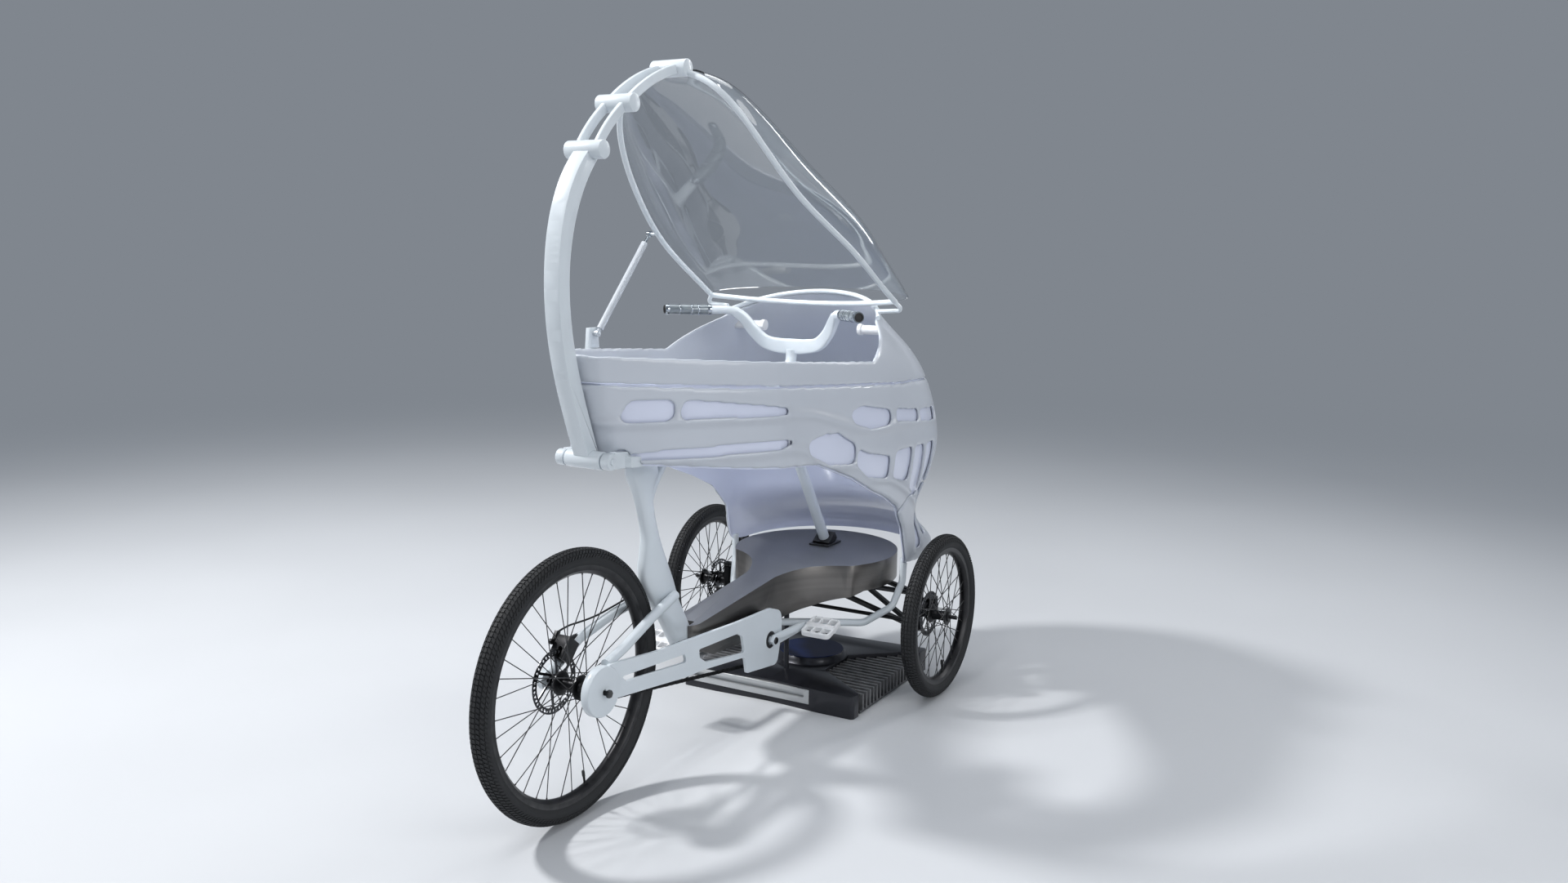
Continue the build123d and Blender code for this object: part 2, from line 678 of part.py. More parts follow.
# Hoop tube on each side: from under the cranks out to the shield's lower corners
with BuildPart() as hoop:
    for side in (-1, 1):
        with BuildLine() as run:
            FilletPolyline((fx(905), side * 30, 262), (fx(1010), side * 58, 240), (fx(1120), side * 232, 236), (fx(1200), side * 290, 276), (fx(1238), side * 306, 350), (fx(1240), side * 308, 425), radius=40)
        with BuildSketch(Plane(origin=run.line @ 0, z_dir=run.line % 0)):
            Circle(11)
        sweep(path=run.line)
    with BuildSketch(side_plane(0)):
        with Locations((905, 262)):
            Circle(11)
    extrude(amount=36, both=True)
    add(pan.part, mode=Mode.SUBTRACT)
    add(arms.part, mode=Mode.SUBTRACT)
    add(shield.part, mode=Mode.SUBTRACT)
    add(liner.part, mode=Mode.SUBTRACT)
save(hoop.part, "lower_hoop")

with BuildPart() as seat:
    with BuildSketch(Plane.XY.offset(896)) as top:
        with BuildLine():
            Polyline((fx(190), 80), (fx(190), -80), (fx(300), -84), (fx(370), -40), (fx(450), -24), (fx(462), 0), (fx(450), 24), (fx(370), 40), (fx(300), 84), close=True)
        make_face()
        fillet(top.vertices(), 14)
    extrude(amount=46)
    with BuildSketch(Plane.XY.offset(852)):
        with Locations((fx(300), 0)):
            Circle(15)
    extrude(amount=50)
    add(mast.part, mode=Mode.SUBTRACT)
    add(crosspiece.part, mode=Mode.SUBTRACT)
save(seat.part, "seat")

# Roof: one box beam up from the rear barrel, a pair of flat bars, then a pair of rails
beam_out = ((62, 862), (8, 1008), (-30, 1144), (-42, 1328), (-12, 1473), (72, 1600))
beam_in = ((96, 880), (46, 1018), (10, 1146), (-3, 1326), (28, 1458), (108, 1584))
with BuildPart() as beam:
    with BuildSketch(side_plane(22)):
        with BuildLine():
            Spline(*beam_out)
            Spline(*beam_in)
            Line(beam_out[0], beam_in[0])
            Line(beam_out[-1], beam_in[-1])
        make_face()
    extrude(amount=44)
    with BuildSketch(side_plane(60)):
        with Locations(hinge_a, hinge_b):
            Circle(barrel_r)
    extrude(amount=120, mode=Mode.SUBTRACT)
save(beam.part, "roof_beam")

with BuildPart() as barrels:
    with BuildSketch(side_plane(barrel_half)):
        with Locations(hinge_a, hinge_b, hinge_c, hinge_d):
            Circle(barrel_r)
    extrude(amount=2 * barrel_half)
    with BuildSketch(side_plane(barrel_half + 30)):
        with Locations(hinge_a):
            Circle(7.8)
    extrude(amount=2 * barrel_half + 60)
save(barrels.part, "roof_barrels")


with BuildPart() as rails:
    for (xa, za), (xb, zb), deep in ((hinge_b, hinge_c, 24), (hinge_c, hinge_d, 24)):
        run = math.atan2(zb - za, xb - xa)
        ux = math.cos(run)
        uz = math.sin(run)
        for y in (-26, 26):
            with BuildSketch(side_plane(y + 6)):
                Polygon((xa + 16 * ux - deep / 2 * uz, za + 16 * uz + deep / 2 * ux), (xb - 16 * ux - deep / 2 * uz, zb - 16 * uz + deep / 2 * ux), (xb - 16 * ux + deep / 2 * uz, zb - 16 * uz - deep / 2 * ux), (xa + 16 * ux + deep / 2 * uz, za + 16 * uz - deep / 2 * ux), align=None)
            extrude(amount=12)
    with BuildSketch(side_plane(60)):
        with Locations(hinge_b, hinge_c, hinge_d):
            Circle(barrel_r)
    extrude(amount=120, mode=Mode.SUBTRACT)
save(rails.part, "roof_rails")

# Canopy: sections square to the long slope of its rim
# (ahead of the rear axle, height of the rim, half width, rise of the bubble above the rim line)
rim_points = (
    (440, 1810, 40, 20),
    (448, 1737, 165, 84),
    (510, 1645, 214, 140),
    (645, 1509, 258, 190),
    (852, 1371, 307, 196),
    (1000, 1284, 314, 160),
    (1110, 1222, 318, 124),
)
front_sections = (
    (1191, 1164, 322, 110),
    (1272, 1105, 322, 112),
)
slope = Vector(0.811, 0, -0.583)
rise = Vector(0.583, 0, 0.811)

with BuildPart() as rim:
    for side in (-1, 1):
        with BuildLine() as run:
            Spline(*[(fx(x), side * h, z) for x, z, h, up in rim_points])
        with BuildSketch(Plane(origin=run.line @ 0, z_dir=run.line % 0)):
            Circle(8)
        sweep(path=run.line)
    with BuildLine() as run:
        ThreePointArc((fx(1110), -318, 1222), (fx(1190), 0, 1204), (fx(1110), 318, 1222))
    with BuildSketch(Plane(origin=run.line @ 0, z_dir=run.line % 0)):
        Circle(8)
    sweep(path=run.line)
    pin_end = strut_y - strut_eye_half - seat_gap
    with BuildSketch(side_plane(pin_end)):
        with Locations(strut_eye):
            Circle(4)
    extrude(amount=pin_end - 290)
    for side in (-1, 1):
        with BuildLine() as run:
            FilletPolyline((fx(1108), side * 318, 1222), (fx(1124), side * 340, 1196), (fx(1118), side * 262, 1191), radius=9)
        with BuildSketch(Plane(origin=run.line @ 0, z_dir=run.line % 0)):
            Circle(6.5)
        sweep(path=run.line)
    add(barrels.part, mode=Mode.SUBTRACT)
save(rim.part, "canopy_rim")

with BuildPart() as bubble:
    for x, z, h, up in rim_points[1:] + front_sections:
        w = h + 9
        mid = 0.3 * up
        turn = math.degrees(math.asin(mid / (up - mid)))
        with BuildSketch(Plane(origin=(fx(x), 0, z), x_dir=(0, 1, 0), z_dir=slope)):
            with BuildLine():
                outer = EllipticalCenterArc((0, mid), w, up - mid, start_angle=-turn, arc_size=180 + 2 * turn)
                inner = EllipticalCenterArc((0, mid), w - 4, up - mid - 4, start_angle=-turn, arc_size=180 + 2 * turn)
                Line(outer @ 0, inner @ 0)
                Line(outer @ 1, inner @ 1)
            make_face()
    loft()
    with BuildSketch(side_plane(0)):
        Polygon((1060, 1218), (1110, 1223), (1500, 1298), (1500, 900), (1060, 900), align=None)
    extrude(amount=500, both=True, mode=Mode.SUBTRACT)
    add(rim.part, mode=Mode.SUBTRACT)
save(bubble.part, "canopy_bubble")

# Gas strut on the left: cylinder on the belt, rod to the canopy rim
strut_low = Vector(fx(strut_foot[0]), strut_y, strut_foot[1])
strut_top = Vector(fx(strut_eye[0]), strut_y, strut_eye[1])
way = (strut_top - strut_low).normalized()
strut_len = (strut_top - strut_low).length
with BuildPart() as cylinder:
    with BuildSketch(Plane(origin=strut_low + way * 14, z_dir=way)):
        Circle(10)
        Circle(4.3, mode=Mode.SUBTRACT)
    extrude(amount=strut_len - 50)
    with BuildSketch(Plane(origin=strut_low + way * 6, z_dir=way)):
        Circle(6)
    extrude(amount=14)
    with BuildSketch(side_plane(strut_y + strut_eye_half)):
        with Locations(strut_foot):
            Circle(9)
    extrude(amount=2 * strut_eye_half)
    with BuildSketch(side_plane(strut_y + 10)):
        with Locations(strut_foot):
            Circle(4.2)
    extrude(amount=20, mode=Mode.SUBTRACT)
save(cylinder.part, "strut_cylinder")

with BuildPart() as rod:
    with BuildSketch(Plane(origin=strut_top - way * 8, z_dir=-way)):
        Circle(4)
    extrude(amount=strut_len - 80)
    with BuildSketch(side_plane(strut_y + strut_eye_half)):
        with Locations(strut_eye):
            Circle(9)
    extrude(amount=2 * strut_eye_half)
save(rod.part, "strut_rod")

with BuildPart() as bracket:
    with BuildSketch(side_plane(strut_y + 16)):
        with Locations(strut_foot):
            Circle(4)
    extrude(amount=24)
    with BuildSketch(side_plane(strut_y + 26)):
        Polygon((512, 1060), (568, 1060), (560, 1150), (522, 1150), align=None)
    extrude(amount=12)
    add(belt.part, mode=Mode.SUBTRACT)
save(bracket.part, "strut_bracket")

# Stand under the tricycle: four-cornered body, round pad, a post to the pan, fins and a slotted bar
stand_h = 70.0
stand_half = (
    (934, 0),
    (922, 180),
    (922, 300),
    (962, 300),
    (1098, 112),
    (1258, 106),
    (1378, 236),
    (1400, 300),
    (1462, 300),
    (1440, 0),
)
with BuildPart() as stand:
    with BuildSketch(Plane.XY) as outline:
        with BuildLine():
            right_side = [(fx(x), -y) for x, y in reversed(stand_half[1:-1])]
            Polyline(*[(fx(x), y) for x, y in stand_half], *right_side, close=True)
        make_face()
        fillet(outline.vertices(), 12)
    extrude(amount=stand_h)
    with BuildSketch(Plane.XY.offset(stand_h)):
        with Locations((fx(1215), 0)):
            Circle(118)
    extrude(amount=20, taper=30)
    with BuildSketch(Plane.XY.offset(stand_h)):
        with Locations((fx(1050), 0)):
            Circle(8)
    extrude(amount=260)
    with BuildSketch(Plane.YZ.offset(fx(915))):
        with Locations((66, 42)):
            Rectangle(434, 44)
    extrude(amount=32, mode=Mode.SUBTRACT)
    add(pan.part, mode=Mode.SUBTRACT)
save(stand.part, "stand_base")

with BuildPart() as bar:
    with BuildSketch(Plane.YZ.offset(fx(922))):
        with Locations((66, 42)):
            Rectangle(434, 44)
        with Locations((66, 45)):
            SlotOverall(400, 14, mode=Mode.SUBTRACT)
    extrude(amount=14)
    with BuildSketch(Plane.YZ.offset(fx(936))):
        with Locations((66, 42)):
            Rectangle(434, 44)
    extrude(amount=11)
save(bar.part, "stand_bar")

with BuildPart() as fins:
    for side in (-1, 1):
        for k in range(17):
            x = 990 + 24 * k
            inner = max(108, 300 - (x - 962) * 1.38, 106 + (x - 1258) * 1.08) + 3
            with BuildSketch(Plane.XY.offset(10)):
                with Locations((fx(x), side * (inner + 300) / 2)):
                    Rectangle(8, 300 - inner)
            extrude(amount=50)
        with BuildSketch(Plane.XY.offset(2)):
            Polygon((fx(975), side * 296), (fx(1102), side * 118), (fx(1256), side * 112), (fx(1385), side * 296), align=None)
        extrude(amount=8)
    add(stand.part, mode=Mode.SUBTRACT)
save(fins.part, "stand_fins")
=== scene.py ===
# %% [markdown]
# # Pedal tricycle with a ring body and a lifting canopy
# The frame that the CAD part gives holds every solid at its real place, in metres, with
# +X forward and +Z up. This lesson dresses it: the wheels get real spokes and tread, the
# chain gets its links, and each surface gets a finish worked out from its real material.

import json
import math

import bmesh
import bpy
from mathutils import Matrix, Vector


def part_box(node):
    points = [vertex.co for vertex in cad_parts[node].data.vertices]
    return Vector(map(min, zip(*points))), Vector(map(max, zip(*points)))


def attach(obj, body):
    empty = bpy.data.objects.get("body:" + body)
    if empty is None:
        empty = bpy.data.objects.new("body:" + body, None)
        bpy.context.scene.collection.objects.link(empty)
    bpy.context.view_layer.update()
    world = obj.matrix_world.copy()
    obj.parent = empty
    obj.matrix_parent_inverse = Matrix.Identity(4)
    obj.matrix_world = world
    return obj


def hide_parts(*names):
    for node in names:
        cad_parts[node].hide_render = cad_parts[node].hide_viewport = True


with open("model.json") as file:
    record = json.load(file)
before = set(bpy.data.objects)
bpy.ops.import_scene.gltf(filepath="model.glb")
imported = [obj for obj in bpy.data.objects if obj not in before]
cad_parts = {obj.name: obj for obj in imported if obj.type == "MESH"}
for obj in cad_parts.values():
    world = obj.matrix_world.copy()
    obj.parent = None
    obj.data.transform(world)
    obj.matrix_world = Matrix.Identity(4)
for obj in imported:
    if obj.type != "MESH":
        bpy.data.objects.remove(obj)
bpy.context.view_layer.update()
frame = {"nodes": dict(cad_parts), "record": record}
nodes = frame["nodes"]
print("CAD nodes:", len(nodes))

# %% Places and objects
# The photograph was measured ahead of the rear axle, which lies this far behind the origin
rear_axle = 0.657


def from_axle(x, y, z):
    """A place given ahead of the rear axle, left of the middle and up, in metres."""
    return Vector((x - rear_axle, y, z))


def linked(name, data):
    """A new object with the data, in the scene."""
    piece = bpy.data.objects.new(name, data)
    bpy.context.scene.collection.objects.link(piece)
    return piece


def smoothed(mesh, sharp_deg):
    """Smooth shading, except over edges that turn by more than the angle."""
    mesh.shade_smooth()
    mesh.set_sharp_from_angle(angle=math.radians(sharp_deg))


def built(name, shape, material=None, sharp_deg=None):
    """The bmesh as an object of one material."""
    mesh = bpy.data.meshes.new(name)
    shape.to_mesh(mesh)
    shape.free()
    if material:
        mesh.materials.append(material)
    if sharp_deg:
        smoothed(mesh, sharp_deg)
    return linked(name, mesh)


def turns_of(count):
    """The angles of equal steps round a circle."""
    return [2 * math.pi * k / count for k in range(count)]

# %% [markdown]
# ## The camera
# The photograph was taken from behind and to the right, a little above head height of the
# ring body. The place below is in metres in the model's own frame, and the three angles
# turn the lens the way the photographer's was turned.

# %% Camera
camera_place = Vector((-2.984, -1.917, 1.407))
camera_yaw = math.radians(29.78)
camera_down = math.radians(9.04)
camera_roll = math.radians(0.53)
camera_data = bpy.data.cameras.new("camera")
camera_data.sensor_width = 36.0
camera_data.lens = 29.59
camera = linked("camera", camera_data)
level = math.cos(camera_down)
look = Vector((math.cos(camera_yaw) * level, math.sin(camera_yaw) * level, -math.sin(camera_down)))
turn = look.to_track_quat("-Z", "Y").to_matrix().to_4x4()
camera.matrix_world = Matrix.Translation(camera_place) @ turn @ Matrix.Rotation(camera_roll, 4, "Z")
bpy.context.scene.camera = camera
bpy.context.scene.view_settings.view_transform = "Standard"

# %% [markdown]
# ## Small helpers for materials
# A maker picks a paint from a card, and the card's hex value is written in sRGB. Blender
# works in linear light, so one function turns the hex value over. The others add a node
# with its settings and links, so that a finish reads as a short list.

# %% Colour and node helpers
def hex_linear(code):
    """A colour card's hex value as linear red, green, blue and alpha."""
    parts = [int(code[i : i + 2], 16) / 255 for i in (1, 3, 5)]
    return tuple(v / 12.92 if v <= 0.04045 else ((v + 0.055) / 1.055) ** 2.4 for v in parts) + (1.0,)


def add_node(tree, kind, settings=None, **links):
    """One node with its settings, and links or values for its input sockets."""
    node = tree.nodes.new(kind)
    for key, value in (settings or {}).items():
        setattr(node, key, value)
    for key, value in links.items():
        name = key.replace("_", " ")
        socket = node.inputs[int(key[1:])] if key[1:].isdigit() else node.inputs[name]
        if isinstance(value, bpy.types.NodeSocket):
            tree.links.new(value, socket)
        else:
            socket.default_value = value
    return node


def maths(tree, kind, a, b=0.0):
    """The output of one maths node."""
    return add_node(tree, "ShaderNodeMath", {"operation": kind}, _0=a, _1=b).outputs[0]


def mixed(tree, share, first, second):
    """A colour between two colours."""
    return add_node(tree, "ShaderNodeMix", {"data_type": "RGBA"}, _0=share, _6=first, _7=second).outputs[2]


def principled(material):
    """The material's main shader."""
    return material.node_tree.nodes["Principled BSDF"]


bare_metal = 0.6  # what worn edges drift to, in linear light
coat_rough = 0.06


def finish(
    name, code, rough, metal=0.0, coat=0.0, spread=0.02, grain_mm=40.0, bump_mm=0.0, stretch=(1, 1, 1), wear=0.0
):
    """A base colour that drifts a little, lighter where edges wear, with a roughness and bump of one grain size."""
    material = bpy.data.materials.new(name)
    material.use_nodes = True
    tree = material.node_tree
    shader = principled(material)
    place = add_node(tree, "ShaderNodeTexCoord")
    scaled = add_node(tree, "ShaderNodeMapping", Vector=place.outputs["Object"], Scale=stretch)
    noise = add_node(tree, "ShaderNodeTexNoise", Vector=scaled.outputs["Vector"], Scale=1000 / grain_mm, Detail=4.0)
    grain = noise.outputs["Fac"]
    base = hex_linear(code)[:3]
    ramp = add_node(tree, "ShaderNodeValToRGB", Fac=grain)
    for stop, spot, share in zip(ramp.color_ramp.elements, (0.3, 0.7), (1 - spread, 1 + spread)):
        stop.position = spot
        stop.color = tuple(min(1, v * share) for v in base) + (1,)
    colour = ramp.outputs["Color"]
    if wear:
        form = add_node(tree, "ShaderNodeNewGeometry")
        edge = add_node(tree, "ShaderNodeMapRange", Value=form.outputs["Pointiness"], From_Min=0.53, From_Max=0.62)
        worn = tuple(v + (bare_metal - v) * wear for v in base) + (1,)
        colour = mixed(tree, maths(tree, "MULTIPLY", edge.outputs[0], grain), colour, worn)
    tree.links.new(colour, shader.inputs["Base Color"])
    shade = add_node(tree, "ShaderNodeMapRange", Value=grain, To_Min=rough * 0.8, To_Max=min(1, rough * 1.2))
    tree.links.new(shade.outputs["Result"], shader.inputs["Roughness"])
    shader.inputs["Metallic"].default_value = metal
    shader.inputs["Coat Weight"].default_value = coat
    shader.inputs["Coat Roughness"].default_value = coat_rough
    if bump_mm:
        fine = add_node(tree, "ShaderNodeTexNoise", Vector=scaled.outputs["Vector"], Scale=4000 / grain_mm, Detail=3.0)
        bump = add_node(tree, "ShaderNodeBump", Height=fine.outputs["Fac"], Distance=bump_mm / 1000, Strength=0.5)
        tree.links.new(bump.outputs["Normal"], shader.inputs["Normal"])
    return material


# %% [markdown]
# ## The finishes
# The frame tubes are welded aluminium under gloss white powder coat, which has a slight
# orange peel. The ring body is thermoformed white ABS with a cool tint, and its inner
# liner is a glossier sheet with a lavender cast, made lighter than the shell as painted
# glow: it stands in for light shining through the sheet from inside. The pan is brushed
# gunmetal steel, whose long fine scratches run along the tricycle.

# %% Finishes
powder_white = finish("powder_coat_white", "#CFD6DB", 0.3, coat=0.35, spread=0.02, grain_mm=120, bump_mm=0.12)
abs_shell = finish("thermoformed_abs_cool_white", "#BFC4CC", 0.3, coat=0.35, spread=0.03, grain_mm=300, bump_mm=0.08)
# painted glow: the liner is lighter than the shell to stand in for light shining through the sheet from inside
liner_painted_glow = finish("gloss_lavender_liner_painted_glow", "#D6DBEC", 0.2, coat=0.6, spread=0.03, grain_mm=400)
gunmetal = finish(
    "brushed_gunmetal_steel", "#7E7B78", 0.36, metal=1.0, spread=0.1, grain_mm=60, bump_mm=0.05, stretch=(0.05, 0.05, 4)
)
black_anodised = finish(
    "black_anodised_aluminium", "#17171A", 0.36, metal=0.6, spread=0.15, grain_mm=30, bump_mm=0.05, wear=0.2
)
stainless = finish(
    "ground_stainless_steel", "#8C8E90", 0.3, metal=1.0, spread=0.06, grain_mm=12, bump_mm=0.02, stretch=(0.05, 0.05, 2)
)
chrome_band = finish("polished_chrome_band", "#B4BAC0", 0.1, metal=1.0, spread=0.04, grain_mm=60)
tyre_rubber = finish("vulcanised_tyre_rubber", "#1F2022", 0.72, spread=0.2, grain_mm=25, bump_mm=0.4)
oiled_chain = finish("oiled_black_chain_steel", "#161617", 0.35, metal=0.8, spread=0.2, grain_mm=8)
white_abs = finish("moulded_white_abs_pedal", "#E4E5E6", 0.36, spread=0.02, grain_mm=30, bump_mm=0.1)
grey_lacquer = finish("grey_lacquered_strut_tube", "#BFC4CA", 0.25, metal=0.2, coat=0.4, spread=0.03, grain_mm=50)
cable_sleeve = finish("black_pvc_cable_sleeve", "#151516", 0.45, spread=0.1, grain_mm=10)
saddle_leather = finish("black_saddle_leather", "#1B1B1D", 0.55, spread=0.15, grain_mm=6, bump_mm=0.4)
dock_gloss = finish("dark_cast_dock", "#25262C", 0.3, metal=0.5, coat=0.2, spread=0.08, grain_mm=90, wear=0.15)
grip_rubber = finish("black_grip_rubber", "#121214", 0.5, spread=0.1, grain_mm=5, bump_mm=0.3)
smoked_sleeve = finish("smoked_clear_grip_sleeve", "#7D858A", 0.12, metal=0.3, coat=0.8, spread=0.15, grain_mm=20)
ground_disc = finish("ground_disc_steel", "#4A4B4E", 0.3, metal=1.0, spread=0.2, grain_mm=6, bump_mm=0.05)
satin_bar = finish("satin_aluminium_bar", "#C4C6C7", 0.42, metal=0.8, spread=0.05, grain_mm=30, stretch=(2, 0.05, 2))
cast_fins = finish("grey_cast_cooling_fins", "#3A3C41", 0.45, metal=0.4, spread=0.1, grain_mm=30, wear=0.5)
# painted reflection: the round pad's dark blue stands in for blue lamps reflected in it, so its own reflection is
# turned down
pad_disc_painted_reflection = finish("pad_disc_painted_blue_reflection", "#0C1A40", 0.4, spread=0.1, grain_mm=200)
principled(pad_disc_painted_reflection).inputs["Specular IOR Level"].default_value = 0.15

clear_acrylic = bpy.data.materials.new("clear_cast_acrylic")
clear_acrylic.use_nodes = True
acrylic_shader = principled(clear_acrylic)
acrylic_shader.inputs["Base Color"].default_value = hex_linear("#F1F4F6")
acrylic_shader.inputs["Roughness"].default_value = 0.03
acrylic_shader.inputs["IOR"].default_value = 1.49
acrylic_shader.inputs["Transmission Weight"].default_value = 1.0


# %% The flat top of the pan
def top_painted_reflection(material, code, rough):
    """Where the surface faces up it is rougher, with no brushed lines, and turns a cooler grey: a painted reflection of
    the surroundings.
    """
    tree = material.node_tree
    shader = principled(material)
    brushed_colour, brushed_rough = (shader.inputs[label].links[0].from_socket for label in ("Base Color", "Roughness"))
    form = add_node(tree, "ShaderNodeNewGeometry")
    parts = add_node(tree, "ShaderNodeSeparateXYZ", Vector=form.outputs["Normal"])
    up = add_node(tree, "ShaderNodeMapRange", Value=parts.outputs["Z"], From_Min=0.6, From_Max=0.9).outputs[0]
    tree.links.new(mixed(tree, up, brushed_colour, hex_linear(code)), shader.inputs["Base Color"])
    shade = add_node(tree, "ShaderNodeMix", {"data_type": "FLOAT"}, _0=up, _2=brushed_rough, _3=rough)
    tree.links.new(shade.outputs[0], shader.inputs["Roughness"])


# painted reflection: the pan's flat top takes a cooler grey than its sides
top_painted_reflection(gunmetal, "#8A8C91", 0.5)

# %% Creases pressed into the shell
# (ahead of the rear axle, height) along the sills of the two rows of windows
upper_sill = (
    (0.1, 0.966), (0.4, 0.964), (0.53, 0.958), (0.66, 0.93), (0.8, 0.892), (0.9, 0.876), (1.05, 0.872), (1.4, 0.846)
)
lower_sill = (
    (0.1, 0.868), (0.35, 0.872), (0.52, 0.868), (0.64, 0.812), (0.8, 0.784), (0.9, 0.738), (1.05, 0.704), (1.4, 0.52)
)


def pressed_crease(material, sill, deep, half_wide):
    """A rounded ridge along the sill line, as a bump on the material's normal."""
    tree = material.node_tree
    normal = principled(material).inputs["Normal"]
    place = add_node(tree, "ShaderNodeTexCoord")
    parts = add_node(tree, "ShaderNodeSeparateXYZ", Vector=place.outputs["Object"])
    start, stop = sill[0][0], sill[-1][0]
    ends = {"From_Min": start - rear_axle, "From_Max": stop - rear_axle}
    share = add_node(tree, "ShaderNodeMapRange", Value=parts.outputs["X"], **ends)
    line = add_node(tree, "ShaderNodeFloatCurve", Value=share.outputs[0])
    points = line.mapping.curves[0].points
    points[0].location = (0, sill[0][1])
    for x, z in sill[1:-1]:
        points.new((x - start) / (stop - start), z)
    points[-1].location = (1, sill[-1][1])
    line.mapping.update()
    over = maths(tree, "SUBTRACT", parts.outputs["Z"], line.outputs[0])
    scaled = maths(tree, "DIVIDE", over, half_wide)
    fall = maths(tree, "MULTIPLY", maths(tree, "MULTIPLY", scaled, scaled), -1.0)
    bump = add_node(tree, "ShaderNodeBump", Height=maths(tree, "EXPONENT", fall), Distance=deep)
    tree.links.new(normal.links[0].from_socket, bump.inputs["Normal"])
    tree.links.new(bump.outputs["Normal"], normal)


for sill in (upper_sill, lower_sill):
    pressed_crease(abs_shell, sill, deep=0.008, half_wide=0.016)

# %% Finish of each CAD node
nodes_by_finish = (
    (
        powder_white,
        "mast stays drive_plate lower_hoop body_crosspiece cowl_collar roof_lugs strut_bracket steering_column "
        "handlebar crankset roof_beam roof_barrels roof_rails canopy_rim",
    ),
    (abs_shell, "body_belt body_shell leg_shield"),
    (liner_painted_glow, "body_liner"),
    (gunmetal, "floor_pan"),
    (
        black_anodised,
        "rear_axle front_arms rear_brake column_bearing tie_rod front_left_knuckle front_right_knuckle",
    ),
    (stainless, "front_left_rotor front_right_rotor rear_rotor rear_sprocket"),
    (chrome_band, "grips strut_rod"),
    (white_abs, "cowl_stops pedal_right pedal_left"),
    (cable_sleeve, "brake_cable"),
    (saddle_leather, "seat"),
    (oiled_chain, "chain"),
    (dock_gloss, "stand_base"),
    (satin_bar, "stand_bar"),
    (cast_fins, "stand_fins"),
    (clear_acrylic, "canopy_bubble"),
    (grey_lacquer, "strut_cylinder"),
)
finish_of = {node_name: material for material, names in nodes_by_finish for node_name in names.split()}
for node_name, material in finish_of.items():
    mesh = nodes[node_name].data
    mesh.materials.clear()
    mesh.materials.append(material)

# %% [markdown]
# ## Soft edges
# No sawn, cast or folded part has a knife edge. Its corners are broken by a file, by the
# mould or by the coating, and that thin round catches the light. The CAD solids have
# sharp corners, so the pieces with long visible edges get a copy whose coplanar facets are
# joined and whose corners are bevelled by a real width.

# %% Edges broken by a real width
def plain_mesh(piece):
    """A new mesh of what the piece and its modifiers make."""
    bpy.context.view_layer.update()
    return bpy.data.meshes.new_from_object(piece.evaluated_get(bpy.context.evaluated_depsgraph_get()))


def evaluated_mesh(piece):
    """Replaces the piece's mesh by what its modifiers make of it, and removes them."""
    made = plain_mesh(piece)
    piece.modifiers.clear()
    piece.data = made
    return piece


body_of = {name: body for body, names in frame["record"]["behaviour"]["bodies"].items() for name in names}


def broken_edges(node_name, width_mm, sharp=32, steps=2):
    """A copy of the CAD node with its facets joined and its corners bevelled; it stands for the node."""
    shape = bmesh.new()
    shape.from_mesh(nodes[node_name].data)
    bmesh.ops.remove_doubles(shape, verts=shape.verts, dist=0.00002)
    bmesh.ops.dissolve_limit(shape, angle_limit=math.radians(0.6), verts=shape.verts, edges=shape.edges)
    piece = built(node_name + "_soft", shape, finish_of[node_name])
    bevel = piece.modifiers.new("broken_edge", "BEVEL")
    bevel.width = width_mm / 1000
    bevel.segments = steps
    bevel.limit_method = "ANGLE"
    bevel.angle_limit = math.radians(sharp)
    evaluated_mesh(piece)
    smoothed(piece.data, sharp)
    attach(piece, body_of[node_name])
    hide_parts(node_name)


soft_nodes = (
    ("roof_beam", 7.0),
    ("roof_barrels", 2.0),
    ("roof_lugs", 2.0),
    ("body_crosspiece", 3.0),
    ("floor_pan", 2.0),
    ("front_arms", 1.2),
    ("strut_bracket", 2.0),
    ("stand_base", 4.0),
    ("stand_bar", 1.0),
    ("crankset", 1.2),
    ("column_bearing", 1.5),
    ("rear_brake", 2.0),
    ("front_left_knuckle", 1.0),
    ("front_right_knuckle", 1.0),
    ("cowl_stops", 2.5),
)
for node_name, width in soft_nodes:
    broken_edges(node_name, width)

# %% [markdown]
# ## The ring body
# Its walls are thermoformed: a hot sheet is drawn over a mould, so that every window and
# rib has a round edge as large as half the wall. The CAD wall has sharp edges. It is cut
# into small even facets here and then relaxed, which rounds the edges as the mould does.

# %% Moulded walls
def moulded(node_name, facet_mm, rounds):
    """The CAD wall in even facets, relaxed until its edges are round; it stands for the node."""
    mesh = nodes[node_name].data.copy()
    mesh.materials.clear()
    mesh.materials.append(finish_of[node_name])
    piece = linked(node_name + "_moulded", mesh)
    even = piece.modifiers.new("even", "REMESH")
    even.mode = "VOXEL"
    even.voxel_size = facet_mm / 1000
    relax = piece.modifiers.new("relax", "SMOOTH")
    relax.factor = 0.5
    relax.iterations = rounds
    evaluated_mesh(piece)
    piece.data.shade_smooth()
    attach(piece, body_of[node_name])
    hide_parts(node_name)


for node_name, facet_mm in (("body_belt", 4.0), ("body_shell", 5.2), ("leg_shield", 4.6)):
    moulded(node_name, facet_mm, 30)

# %% [markdown]
# ## Tyres
# A tyre is a ring of rubber with a rounded section, and its tread is a row of small blocks
# that repeats round it. The ring is a lathe turned from one section, and Geometry Nodes
# place the tread row round the circle as often as the real pitch of about 9 mm asks for.


